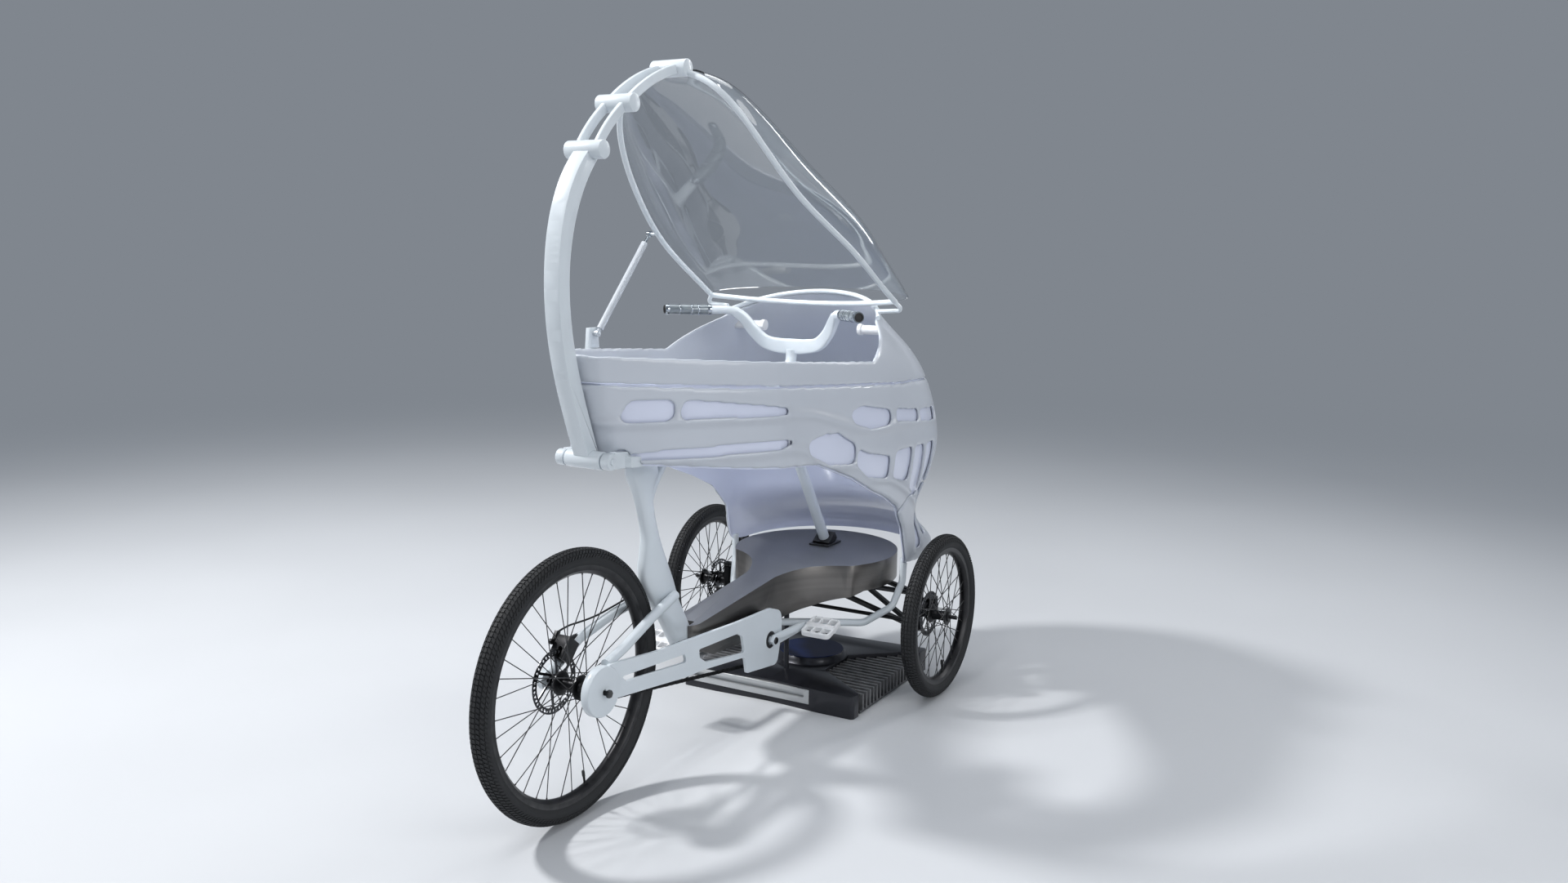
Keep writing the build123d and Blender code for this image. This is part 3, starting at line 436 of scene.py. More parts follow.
# %% Lathe helper
def lathe(name, centre, section, steps, material, axis=(0, 1, 0)):
    """A ring turned about an axis through the centre, from (radius, along) points of a closed section."""
    shape = bmesh.new()
    axis = Vector(axis).normalized()
    first = axis.orthogonal().normalized()
    second = axis.cross(first)
    rings = []
    for angle in turns_of(steps):
        spot = first * math.cos(angle) + second * math.sin(angle)
        rings.append([shape.verts.new(Vector(centre) + spot * r + axis * y) for r, y in section])
    for here, after in zip(rings, rings[1:] + rings[:1]):
        for i in range(len(section)):
            j = (i + 1) % len(section)
            shape.faces.new((here[i], here[j], after[j], after[i]))
    bmesh.ops.recalc_face_normals(shape, faces=shape.faces)
    return built(name, shape, material, 35)


def thickened(piece, thick):
    """The piece's sheet with a thickness, half of it on each side."""
    sheet = piece.modifiers.new("sheet", "SOLIDIFY")
    sheet.thickness = thick
    sheet.offset = 0
    return evaluated_mesh(piece)


def carried(piece, body, slot, *stands_for):
    """The piece rides on the body and stands for the named nodes; the slot is not used."""
    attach(piece, body)
    if stands_for:
        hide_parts(*stands_for)
    return piece


def nodes_tree(name, inputs):
    """An empty geometry tree with the named inputs, given as (name, kind, value)."""
    tree = bpy.data.node_groups.new(name, "GeometryNodeTree")
    tree.interface.new_socket("Geometry", in_out="INPUT", socket_type="NodeSocketGeometry")
    for label, kind, value in inputs:
        socket = tree.interface.new_socket(label, in_out="INPUT", socket_type=kind)
        if value is not None:
            socket.default_value = value
    tree.interface.new_socket("Geometry", in_out="OUTPUT", socket_type="NodeSocketGeometry")
    return tree


def run_tree(piece, tree, values):
    """Runs a geometry tree on the piece with the given inputs, and keeps the plain mesh."""
    modifier = piece.modifiers.new("work", "NODES")
    modifier.node_group = tree
    for item in tree.interface.items_tree:
        if item.in_out == "INPUT" and item.name in values:
            modifier[item.identifier] = values[item.name]
    return evaluated_mesh(piece)


def instances(tree, points, instance, rotation, **scale):
    """The instance on each of the points."""
    links = {"Points": points, "Instance": instance, "Rotation": rotation, **scale}
    return add_node(tree, "GeometryNodeInstanceOnPoints", **links).outputs[0]


def end_tree(tree, geometry, material):
    """Makes the instances real, in one material, as the tree's result."""
    real = add_node(tree, "GeometryNodeRealizeInstances", Geometry=geometry)
    coloured = add_node(tree, "GeometryNodeSetMaterial", Geometry=real.outputs[0], Material=material)
    add_node(tree, "NodeGroupOutput", Geometry=coloured.outputs[0])


# %% Tread tree
tread = nodes_tree(
    "tread_round_a_tyre",
    (("Count", "NodeSocketInt", 200), ("Centre", "NodeSocketVector", None), ("Rubber", "NodeSocketMaterial", None)),
)
given = add_node(tread, "NodeGroupInput").outputs
index = add_node(tread, "GeometryNodeInputIndex")
angle = maths(tread, "MULTIPLY", maths(tread, "DIVIDE", index.outputs[0], given["Count"]), 2 * math.pi)
round_y = add_node(tread, "ShaderNodeCombineXYZ", Y=angle)
points = add_node(tread, "GeometryNodePoints", Count=given["Count"], Position=given["Centre"])
end_tree(tread, instances(tread, points.outputs[0], given["Geometry"], round_y.outputs[0]), given["Rubber"])

# %% Make the tyres
# (lean round the tube in degrees, share of the pitch, skew), from one shoulder to the other
tread_blocks = (
    (-72, 0.5, 0.35),
    (-48, 0.55, 0.3),
    (-24, 0.6, 0.2),
    (0, 0.6, 0.0),
    (24, 0.6, -0.2),
    (48, 0.55, -0.3),
    (72, 0.5, -0.35),
)
tread_deep = 0.0022
tread_pitch = 0.012


def tread_row(radius, tube, pitch):
    """One row of tread blocks across the tyre, around the origin, at the top of the tyre."""
    shape = bmesh.new()
    for lean_deg, long, skew in tread_blocks:
        lean = math.radians(lean_deg)
        out_way = Vector((0, math.sin(lean), math.cos(lean)))
        side_way = Vector((0, math.cos(lean), -math.sin(lean)))
        middle = Vector((0, 0, radius - tube)) + out_way * tube
        half_w = tube * 0.165
        half_l = pitch * long * 0.6
        corners = []
        for up in (-tread_deep, 0.0):
            for a, b in ((-1, -1), (1, -1), (1, 1), (-1, 1)):
                spot = middle + side_way * (a * half_w) + Vector((b * half_l + a * skew * pitch, 0, 0)) + out_way * up
                corners.append(shape.verts.new(spot))
        low, high = corners[:4], corners[4:]
        shape.faces.new(high)
        for i in range(4):
            j = (i + 1) % 4
            shape.faces.new((low[i], low[j], high[j], high[i]))
    bmesh.ops.recalc_face_normals(shape, faces=shape.faces)
    return built("tread_row", shape)


def tyre_size(node_name):
    """The tyre's middle, its radius and the radius of its tube."""
    low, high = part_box(node_name)
    return (low + high) / 2, (high.z - low.z) / 2, (high.y - low.y) / 2


def make_tyre(node_name, body, pitch):
    """A carcass turned from its section, with a tread row repeated round it."""
    centre, radius, tube = tyre_size(node_name)
    section = []
    for k in range(20):
        a = math.radians(-150 + 300 * k / 19)
        section.append((radius - tube + (tube - tread_deep) * math.cos(a), (tube - 0.8 * tread_deep) * math.sin(a)))
    ring = lathe(node_name + "_carcass", centre, section, 96, tyre_rubber)
    blocks = tread_row(radius, tube, pitch)
    run_tree(blocks, tread, {"Count": round(2 * math.pi * radius / pitch), "Centre": centre, "Rubber": tyre_rubber})
    blocks.name = node_name + "_tread"
    carried(ring, body, "tyre", node_name)
    carried(blocks, body, "tyre")


for place in ("rear", "front_left", "front_right"):
    make_tyre(place + "_tyre", body_of[place + "_tyre"], tread_pitch)

# %% [markdown]
# ## Spoked wheels
# A bicycle wheel hangs its hub on thin steel spokes. They leave the hub's flanges almost
# at a tangent and cross their neighbours, which is what lets them pass the drive on. The
# tree below places one thin rod for each spoke between a point on the flange and its
# nipple in the rim, so that the number of spokes and the crossing are inputs.

# %% Spoke tree
spokes = nodes_tree(
    "crossed_spokes",
    (
        ("Count", "NodeSocketInt", 36),
        ("Hub Radius", "NodeSocketFloat", 0.025),
        ("Rim Radius", "NodeSocketFloat", 0.28),
        ("Flange", "NodeSocketFloat", 0.03),
        ("Cross", "NodeSocketFloat", 1.2),
        ("Thick", "NodeSocketFloat", 0.001),
        ("Centre", "NodeSocketVector", None),
        ("Steel", "NodeSocketMaterial", None),
    ),
)
given = add_node(spokes, "NodeGroupInput").outputs
number = add_node(spokes, "GeometryNodeInputIndex").outputs[0]
count = given["Count"]
nipple_half_gap = 0.002
nipple_radius = 0.0021
nipple_long = 0.014


def either_way(value):
    """-1 for even numbers and 1 for odd ones."""
    return maths(spokes, "SUBTRACT", maths(spokes, "MULTIPLY", maths(spokes, "MODULO", value, 2.0), 2.0), 1.0)


def wheel_spot(angle, radius, sideways):
    """A place on a circle round the axle, moved along it."""
    x, z = (maths(spokes, "MULTIPLY", maths(spokes, kind, angle), radius) for kind in ("COSINE", "SINE"))
    return add_node(spokes, "ShaderNodeCombineXYZ", X=x, Y=sideways, Z=z).outputs[0]


def vector_maths(kind, a, **links):
    """One vector maths node of the spoke tree."""
    return add_node(spokes, "ShaderNodeVectorMath", {"operation": kind}, _0=a, **links)


rim_angle = maths(spokes, "MULTIPLY", number, maths(spokes, "DIVIDE", 2 * math.pi, count))
side = either_way(number)
way = either_way(maths(spokes, "FLOOR", maths(spokes, "DIVIDE", number, 2.0)))
hub_angle = maths(spokes, "ADD", rim_angle, maths(spokes, "MULTIPLY", way, given["Cross"]))
hub_spot = wheel_spot(hub_angle, given["Hub Radius"], maths(spokes, "MULTIPLY", side, given["Flange"]))
rim_spot = wheel_spot(rim_angle, given["Rim Radius"], maths(spokes, "MULTIPLY", side, nipple_half_gap))
along = vector_maths("SUBTRACT", rim_spot, _1=hub_spot).outputs[0]
length = vector_maths("LENGTH", along).outputs["Value"]
aimed = add_node(spokes, "FunctionNodeAlignRotationToVector", {"axis": "Z"}, Vector=along).outputs[0]
stretched = add_node(spokes, "ShaderNodeCombineXYZ", X=1.0, Y=1.0, Z=length).outputs[0]
hubs, ends = (
    add_node(
        spokes,
        "GeometryNodePoints",
        Count=count,
        Position=vector_maths("ADD", spot, _1=given["Centre"]).outputs[0],
    ).outputs[0]
    for spot in (hub_spot, rim_spot)
)
rod = add_node(spokes, "GeometryNodeMeshCylinder", Vertices=6, Radius=given["Thick"], Depth=1.0)
raised = add_node(spokes, "GeometryNodeTransform", Geometry=rod.outputs["Mesh"], Translation=(0, 0, 0.5))
nipple = add_node(spokes, "GeometryNodeMeshCylinder", Vertices=6, Radius=nipple_radius, Depth=nipple_long)
together = add_node(spokes, "GeometryNodeJoinGeometry")
spokes.links.new(instances(spokes, ends, nipple.outputs["Mesh"], aimed), together.inputs[0])
spokes.links.new(instances(spokes, hubs, raised.outputs[0], aimed, Scale=stretched), together.inputs[0])
end_tree(spokes, together.outputs[0], given["Steel"])

# %% Make the wheels
# (radius, distance from the rim) of a valve stem with its dust cap
valve_section = (
    (0.0004, -0.004),
    (0.0042, -0.004),
    (0.0042, 0.004),
    (0.003, 0.006),
    (0.003, 0.022),
    (0.0042, 0.0225),
    (0.0042, 0.035),
    (0.0028, 0.038),
    (0.0004, 0.038),
)
valve_turn = math.radians(-80)
cross_turn = math.radians(62)


def both_sides(half_section):
    """A section from its half with y below 0, mirrored after it; a point on y = 0 stays single."""
    return half_section + tuple((r, -y) for r, y in reversed(half_section) if y)


def make_wheel(tyre_node, wheel_node, body, count, hub_half, flange_r):
    """Rim, hub, spokes and valve inside the tyre."""
    centre, radius, tube = tyre_size(tyre_node)
    seat_r = radius - 2 * tube + 0.004
    wide = tube * 0.62
    rim_section = (
        (seat_r + 0.006, -wide),
        (seat_r + 0.006, -wide + 0.0025),
        (seat_r - 0.004, -wide + 0.004),
        (seat_r - 0.004, wide - 0.004),
        (seat_r + 0.006, wide - 0.0025),
        (seat_r + 0.006, wide),
        (seat_r - 0.008, wide),
        (seat_r - 0.016, wide * 0.45),
        (seat_r - 0.018, 0),
        (seat_r - 0.016, -wide * 0.45),
        (seat_r - 0.008, -wide),
    )
    rim = lathe(wheel_node + "_rim", centre, rim_section, 96, black_anodised)
    hub_section = both_sides(
        (
            (0.0065, -hub_half - 0.006),
            (0.014, -hub_half - 0.006),
            (0.016, -hub_half - 0.001),
            (flange_r + 0.004, -hub_half),
            (flange_r + 0.004, -hub_half + 0.004),
            (0.016, -hub_half + 0.008),
            (0.014, 0),
        )
    )
    hub = lathe(wheel_node + "_hub", centre, hub_section, 40, black_anodised)
    wires = linked(wheel_node + "_spokes", bpy.data.meshes.new(wheel_node + "_spokes"))
    values = {
        "Count": count,
        "Hub Radius": flange_r,
        "Rim Radius": seat_r - 0.014,
        "Flange": hub_half - 0.002,
        "Cross": cross_turn,
        "Thick": 0.0013,
        "Centre": centre,
        "Steel": black_anodised,
    }
    run_tree(wires, spokes, values)
    stem_way = Vector((math.cos(valve_turn), 0, math.sin(valve_turn)))
    stem_foot = centre + stem_way * (seat_r - 0.016)
    stem = lathe(wheel_node + "_valve", stem_foot, valve_section, 10, black_anodised, -stem_way)
    for piece in (rim, hub, wires, stem):
        carried(piece, body, "black_anodized")
    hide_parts(wheel_node)


for place, hub_half, flange_r in (("rear", 0.032, 0.026), ("front_left", 0.028, 0.022), ("front_right", 0.028, 0.022)):
    make_wheel(place + "_tyre", place + "_wheel", body_of[place + "_wheel"], 36, hub_half, flange_r)

# %% [markdown]
# ## Brake discs
# A disc is stamped from steel sheet. Its ring is drilled all round, so that it sheds heat
# and water, and six bent arms carry it on the hub. One cell of the ring is a small hole
# with eight quads round it, and a loop turns that cell round the disc.

# %% Discs
ring_half = 0.0075
hole_radius = 0.0042
arm_half = 0.0035


def drilled_disc(name, centre, outer_r, inner_r, thick, cells):
    """A drilled ring, six bent arms and a carrier ring, as one sheet of the given thickness."""
    shape = bmesh.new()

    def spot(radius, angle):
        """A new point of the disc, seen from the side."""
        return shape.verts.new((radius * math.cos(angle), 0, radius * math.sin(angle)))

    low_r = outer_r - 2 * ring_half
    mid_r = outer_r - ring_half
    sides = ((low_r, 0), (low_r, 0.5), (low_r, 1), (mid_r, 1), (outer_r, 1), (outer_r, 0.5), (outer_r, 0), (mid_r, 0))
    step = 2 * math.pi / cells
    for k in range(cells):
        a = k * step
        frame_verts = [spot(r, a + s * step) for r, s in sides]
        hole_verts = []
        for r, s in sides:
            out = (r - mid_r) / ring_half
            across = (s - 0.5) * 2
            long = math.hypot(out, across)
            hole_verts.append(spot(mid_r + out / long * hole_radius, a + (0.5 + across / long * 0.3) * step))
        for i in range(8):
            j = (i + 1) % 8
            shape.faces.new((frame_verts[i], frame_verts[j], hole_verts[j], hole_verts[i]))
    for k in range(6):
        rows = []
        for i in range(7):
            share = i / 6
            radius = inner_r + 0.008 + (low_r + 0.0005 - inner_r - 0.008) * share
            angle = k * math.pi / 3 + 0.45 * share + 0.1 * math.sin(math.pi * share)
            half = arm_half / radius
            rows.append((spot(radius, angle - half), spot(radius, angle + half)))
        for here, after in zip(rows, rows[1:]):
            shape.faces.new((here[0], here[1], after[1], after[0]))
    inner = [(spot(inner_r, angle), spot(inner_r + 0.0085, angle)) for angle in turns_of(36)]
    for here, after in zip(inner, inner[1:] + inner[:1]):
        shape.faces.new((here[0], here[1], after[1], after[0]))
    bmesh.ops.remove_doubles(shape, verts=shape.verts, dist=0.00001)
    bmesh.ops.recalc_face_normals(shape, faces=shape.faces)
    bmesh.ops.translate(shape, verts=shape.verts, vec=centre)
    return thickened(built(name, shape, ground_disc), thick)


for node_name, inner_r in (("rear_rotor", 0.0105), ("front_left_rotor", 0.0155), ("front_right_rotor", 0.0155)):
    low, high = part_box(node_name)
    disc = drilled_disc(node_name + "_disc", (low + high) / 2, (high.z - low.z) / 2, inner_r, high.y - low.y, 40)
    carried(disc, body_of[node_name], "bare_steel", node_name)

# %% [markdown]
# ## Pieces drawn through sections
# A boat builder draws a hull through a few sections. The bubble, the handlebar's flat yoke
# and the saddle are made the same way: a short table gives the sections, one helper draws
# smooth rows between them, and another stretches a skin over the rows.


# %% Helpers for sections
def smooth_rows(table, parts):
    """Rows between the table's rows, on a smooth curve through each column."""
    rows = []
    last = len(table) - 1
    for i in range(last):
        before, here, after, beyond = (table[min(max(k, 0), last)] for k in (i - 1, i, i + 1, i + 2))
        for step in range(parts):
            t = step / parts
            row = []
            for a, b, c, d in zip(before, here, after, beyond):
                terms = (2 * b, (c - a) * t, (2 * a - 5 * b + 4 * c - d) * t**2, (3 * b - a - 3 * c + d) * t**3)
                row.append(0.5 * sum(terms))
            rows.append(row)
    rows.append(list(table[last]))
    return rows


def skin(name, rows, material, closed=True):
    """A surface over rows of points; closed rows make a tube with its two ends shut."""
    shape = bmesh.new()
    made = [[shape.verts.new(spot) for spot in row] for row in rows]
    count = len(rows[0])
    for here, after in zip(made, made[1:]):
        for i in range(count if closed else count - 1):
            j = (i + 1) % count
            shape.faces.new((here[i], here[j], after[j], after[i]))
    if closed:
        shape.faces.new(made[0])
        shape.faces.new(made[-1])
    bmesh.ops.recalc_face_normals(shape, faces=shape.faces)
    return built(name, shape, material, 50)


def rounded(angle, power):
    """Cosine and sine on a squarish circle."""
    c = math.cos(angle)
    s = math.sin(angle)
    return math.copysign(abs(c) ** power, c), math.copysign(abs(s) ** power, s)


def oval(count, power):
    """The squarish circle's points."""
    return [rounded(angle, power) for angle in turns_of(count)]


# %% [markdown]
# ## The bubble
# It is blown from one acrylic sheet, clamped at the rim, so its sections bulge past the rim
# before they close over the top. Its front edge is trimmed flat above the cowl. Clear
# acrylic lets nine tenths of the light through, so the sheet casts no shadow here.

# %% Bubble
# (ahead of the rear axle, height of the rim line, half width, rise above the rim line)
bubble_sections = (
    (0.441, 1.790, 0.090, 0.040),
    (0.448, 1.737, 0.165, 0.084),
    (0.510, 1.645, 0.214, 0.140),
    (0.645, 1.509, 0.258, 0.190),
    (0.852, 1.371, 0.307, 0.196),
    (1.000, 1.284, 0.314, 0.160),
    (1.110, 1.222, 0.318, 0.124),
    (1.191, 1.164, 0.322, 0.110),
    (1.272, 1.105, 0.322, 0.112),
)
bubble_rise = Vector((0.583, 0, 0.811))
bulge_share = 0.26
sheet_thick = 0.004
rim_inset = 0.004
trim_foot = from_axle(1.110, 0, 1.2232)
trim_way = Vector((-0.189, 0, 0.982))
rows = []
for x, z, half, up in smooth_rows(bubble_sections, 10):
    middle = bulge_share * up
    turn = math.asin(middle / (up - middle))
    row = []
    for k in range(57):
        a = -turn + (math.pi + 2 * turn) * k / 56
        wide = (half - rim_inset) / math.cos(turn) * math.cos(a)
        high = middle + (up - middle - 0.001) * math.sin(a)
        row.append(from_axle(x, 0, z) + Vector((0, wide, 0)) + bubble_rise * high)
    rows.append(row)
bubble = skin("bubble_sheet", rows, clear_acrylic, closed=False)
trimmed = bmesh.new()
trimmed.from_mesh(bubble.data)
everything = trimmed.verts[:] + trimmed.edges[:] + trimmed.faces[:]
bmesh.ops.bisect_plane(trimmed, geom=everything, plane_co=trim_foot, plane_no=trim_way, clear_inner=True)
trimmed.to_mesh(bubble.data)
trimmed.free()
thickened(bubble, sheet_thick)
smoothed(bubble.data, 50)
bubble.visible_shadow = False
carried(bubble, "canopy", "clear_acrylic", "canopy_bubble")

# %% [markdown]
# ## Handlebar and grips
# The bar is one moulding: round where the hands hold it, and a flat upright band where it
# dips in the middle. Each grip is a row of polished rings and black sleeves.

# %% Handlebar
# (ahead of the rear axle, distance from the middle, height, half height, half thickness)
bar_half_sections = (
    (1.066, 0.000, 1.079, 0.0230, 0.0105),
    (1.065, 0.045, 1.080, 0.0220, 0.0105),
    (1.063, 0.092, 1.090, 0.0200, 0.0110),
    (1.054, 0.128, 1.122, 0.0175, 0.0120),
    (1.036, 0.156, 1.162, 0.0150, 0.0125),
    (1.008, 0.182, 1.183, 0.0130, 0.0130),
    (0.962, 0.222, 1.186, 0.0125, 0.0125),
    (0.868, 0.321, 1.188, 0.0125, 0.0125),
)
bar_table = [(x, -y, z, a, b) for x, y, z, a, b in reversed(bar_half_sections)] + list(bar_half_sections[1:])
# (ahead of the rear axle, distance from the middle, height, radius) of the neck between the column and the yoke
neck_table = (
    (0.928, 0, 0.985, 0.017),
    (0.950, 0, 0.996, 0.017),
    (0.995, 0, 1.000, 0.017),
    (1.044, 0, 1.014, 0.017),
    (1.062, 0, 1.042, 0.017),
    (1.063, 0, 1.070, 0.016),
)
squarish_over = 0.0135  # half height from which the bar is a band and no longer round


def heading(table, i):
    """The way from the row before to the row after."""
    return Vector(table[min(i + 1, len(table) - 1)][:3]) - Vector(table[max(i - 1, 0)][:3])


bar_rows = smooth_rows(bar_table, 6)
rows = []
for i, (x, y, z, tall, thick) in enumerate(bar_rows):
    ahead = heading(bar_rows, i)
    upright = Vector((1, 0, 0)).cross(ahead).normalized()
    across = ahead.normalized().cross(upright)
    around = oval(24, 0.4 if tall > squarish_over else 1.0)
    rows.append([from_axle(x, y, z) + upright * (tall * c) + across * (thick * s) for c, s in around])
bar = skin("handlebar_moulding", rows, powder_white)
neck_rows = smooth_rows(neck_table, 6)
rows = []
for i, (x, y, z, radius) in enumerate(neck_rows):
    upright = heading(neck_rows, i).normalized().cross(Vector((0, 1, 0)))
    middle = from_axle(x, y, z)
    around = [(math.cos(a), math.sin(a)) for a in turns_of(20)]
    rows.append([middle + upright * (radius * c) + Vector((0, radius * s, 0)) for c, s in around])
neck = skin("handlebar_neck", rows, powder_white)
for piece in (bar, neck):
    carried(piece, "steering", "white_paint")
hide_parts("handlebar")

# %% Grips
grip_start = (0.960, 0.224, 1.186)
grip_stop = (0.864, 0.325, 1.188)
ring_places = (0.03, 0.27, 0.42, 0.68, 0.95)
cap_section = ((0.0003, -0.003), (0.0127, -0.003), (0.0127, 0.002), (0.010, 0.0035), (0.0095, 0.001), (0.0003, 0.001))
for side, label in ((1, "left"), (-1, "right")):
    start, stop = (from_axle(x, side * y, z) for x, y, z in (grip_start, grip_stop))
    way = stop - start
    long = way.length
    sleeve_start = ((0.0127, 0), (0.0148, 0.001), (0.0152, 0.004))
    sleeve_section = sleeve_start + tuple((r, long - y) for r, y in reversed(sleeve_start))
    sleeve = lathe("grip_sleeve_" + label, start, sleeve_section, 32, smoked_sleeve, way)
    carried(sleeve, "steering", "grip_rubber")
    cap = lathe("grip_cap_" + label, stop, cap_section, 32, grip_rubber, way)
    carried(cap, "steering", "grip_rubber")
    for i, share in enumerate(ring_places):
        half = 0.0055 if i in (0, 4) else 0.0024
        ring_section = both_sides(((0.014, -half), (0.0158, -half), (0.0163, -half * 0.5)))
        ring = lathe("grip_ring_%s_%d" % (label, i), start + way * share, ring_section, 32, chrome_band, way)
        carried(ring, "steering", "bare_steel")
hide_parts("grips")

# %% [markdown]
# ## Saddle
# Foam under leather: wide and nearly flat at the back, drawn in to a narrow nose, with its
# edges rolled down over the shell.

# %% Saddle
# (ahead of the rear axle, half width, top, depth)
saddle_sections = (
    (0.192, 0.030, 0.930, 0.020),
    (0.198, 0.064, 0.938, 0.038),
    (0.232, 0.078, 0.943, 0.048),
    (0.280, 0.078, 0.942, 0.050),
    (0.330, 0.056, 0.939, 0.048),
    (0.380, 0.034, 0.938, 0.044),
    (0.430, 0.025, 0.938, 0.040),
    (0.455, 0.018, 0.935, 0.030),
    (0.462, 0.006, 0.928, 0.014),
)
rows = []
for x, half, top, deep in smooth_rows(saddle_sections, 5):
    row = []
    for c, s in oval(32, 0.7):
        dip = 0.004 * max(0.0, 1 - abs(c) * 3) if s > 0 else 0.0
        row.append(from_axle(x, half * c, top - deep / 2 + deep / 2 * s - dip))
    rows.append(row)
saddle = skin("saddle_pad", rows, saddle_leather)
carried(saddle, "frame", "seat_cover", "seat")
post_section = ((0.0002, 0.0), (0.0148, 0.0), (0.0148, 0.048), (0.0002, 0.048))
post = lathe("saddle_post", from_axle(0.300, 0, 0.852), post_section, 24, black_anodised, (0, 0, 1))
carried(post, "frame", "black_anodized")

# %% [markdown]
# ## Brake cable
# The rear brake's cable leaves the caliper's arm, lies along the left stay and goes into
# the mast. Its points are the part's own route, and the curve through them is smooth.

# %% Cable
# (ahead of the rear axle, left of the middle, height)
cable_route = (
    (0.053, 0.083, 0.440),
    (0.092, 0.084, 0.446),
    (0.140, 0.080, 0.444),
    (0.190, 0.068, 0.449),
    (0.240, 0.058, 0.461),
    (0.300, 0.050, 0.473),
    (0.352, 0.042, 0.480),
    (0.384, 0.014, 0.478),
)
cable_data = bpy.data.curves.new("brake_cable_line", "CURVE")
cable_data.dimensions = "3D"
cable_data.bevel_depth = 0.0025
cable_data.bevel_resolution = 4
spline = cable_data.splines.new("NURBS")
spline.points.add(len(cable_route) - 1)
for point, (x, y, z) in zip(spline.points, cable_route):
    point.co = from_axle(x, y, z).to_4d()
spline.order_u = 3
spline.use_endpoint_u = True
spline.resolution_u = 16
cable_data.materials.append(cable_sleeve)
cable = linked("brake_cable_line", cable_data)
carried(cable, "frame", "cable_sleeve", "brake_cable")

# %% [markdown]
# ## Mast
# The mast is welded from two pressed halves. It is pinched under the ring body, swells where
# the stays meet it, and a brace curves out of it to the crosspiece. Both are skins over level
# sections, each a squarish oval with its own half length and half width.

# %% Mast
# (ahead of the rear axle, height, half length, half width)
mast_sections = (
    (0.284, 0.890, 0.046, 0.022),
    (0.290, 0.850, 0.050, 0.024),
    (0.296, 0.806, 0.054, 0.027),
    (0.297, 0.770, 0.036, 0.022),
    (0.301, 0.742, 0.028, 0.019),
    (0.309, 0.710, 0.025, 0.018),
    (0.318, 0.675, 0.025, 0.018),
    (0.327, 0.637, 0.029, 0.019),
    (0.332, 0.599, 0.040, 0.021),
    (0.340, 0.552, 0.055, 0.024),
    (0.358, 0.505, 0.060, 0.025),
    (0.393, 0.443, 0.052, 0.023),
    (0.430, 0.387, 0.049, 0.022),
    (0.462, 0.335, 0.047, 0.021),
    (0.490, 0.290, 0.047, 0.021),
)
brace_sections = (
    (0.312, 0.705, 0.012, 0.011),
    (0.326, 0.742, 0.013, 0.012),
    (0.352, 0.785, 0.014, 0.014),
    (0.392, 0.830, 0.018, 0.016),
    (0.432, 0.868, 0.026, 0.016),
    (0.440, 0.882, 0.028, 0.016),
)


def level_skin(name, sections, parts):
    """A skin over level squarish ovals."""
    rows = []
    for x, z, long, wide in smooth_rows(sections, parts):
        rows.append([from_axle(x + long * c, wide * s, z) for c, s in oval(32, 0.75)])
    return skin(name, rows, powder_white)


mast = level_skin("mast_pressing", mast_sections, 6)
brace = level_skin("mast_brace", brace_sections, 5)
carried(mast, "frame", "white_paint", "mast")
carried(brace, "frame", "white_paint")

# %% [markdown]
# ## Roof rails
# Flat bars join the roof's barrels in pairs. They are bent to gentle arcs, which rise a
# little over the straight line between two barrels.

# %% Rails
# (start, stop, rise of the arc): the barrels' middles, ahead of the rear axle and up
rail_runs = (
    ((0.091, 1.601), (0.210, 1.716), 0.008),
    ((0.210, 1.716), (0.434, 1.821), 0.014),
)
rail_half_gap = 0.026
rail_half_deep = 0.012
rail_half_thick = 0.006
rail_clear = 0.09  # share of a run that is left out at each end
for run_no, (start, stop, rise) in enumerate(rail_runs):
    along = Vector((stop[0] - start[0], 0, stop[1] - start[1]))
    outward = Vector((-along.z, 0, along.x)).normalized()
    for side in (-1, 1):
        foot = from_axle(start[0], side * rail_half_gap, start[1])
        rows = []
        for k in range(13):
            t = rail_clear + (1 - 2 * rail_clear) * k / 12
            lean = (outward - along.normalized() * (4 * rise * (1 - 2 * t) / along.length)).normalized()
            middle = foot + along * t + outward * (4 * rise * t * (1 - t))
            flat = [(rail_half_deep * c, Vector((0, rail_half_thick * s, 0))) for c, s in oval(24, 0.35)]
            rows.append([middle + lean * deep + aside for deep, aside in flat])
        rail = skin("roof_rail_%d_%s" % (run_no, "left" if side > 0 else "right"), rows, powder_white)
        carried(rail, body_of["roof_rails"], "white_paint")
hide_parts("roof_rails")

# %% [markdown]
# ## Drive plate
# It is cut from 10 mm aluminium plate and has a drum on its inner face round the axle. A
# flat curve with holes makes it as the cutter does: the outline and each opening are lists
# of corners with a radius, and the curve's own extrude and bevel give the plate its edge.

# %% Plate
# (ahead of the rear axle, height, corner radius) in mm
plate_outline = (
    (36, 396, 20),
    (220, 375, 200),
    (600, 351, 200),
    (785, 345, 30),
    (846, 324, 34),
    (850, 262, 30),
    (824, 166, 26),
    (655, 188, 8),
    (644, 238, 16),
    (426, 264, 60),
    (343, 268, 60),
    (204, 286, 200),
    (56, 304, 12),
    (-6, 290, 8),
    (-40, 337, 20),
    (-6, 388, 8),
)
plate_openings = (
    ((76, 352, 5), (344, 332, 9), (354, 308, 9), (90, 336, 5)),
    ((410, 326, 6), (602, 317, 14), (630, 302, 10), (643, 252, 10), (445, 282, 14), (415, 302, 12)),
)


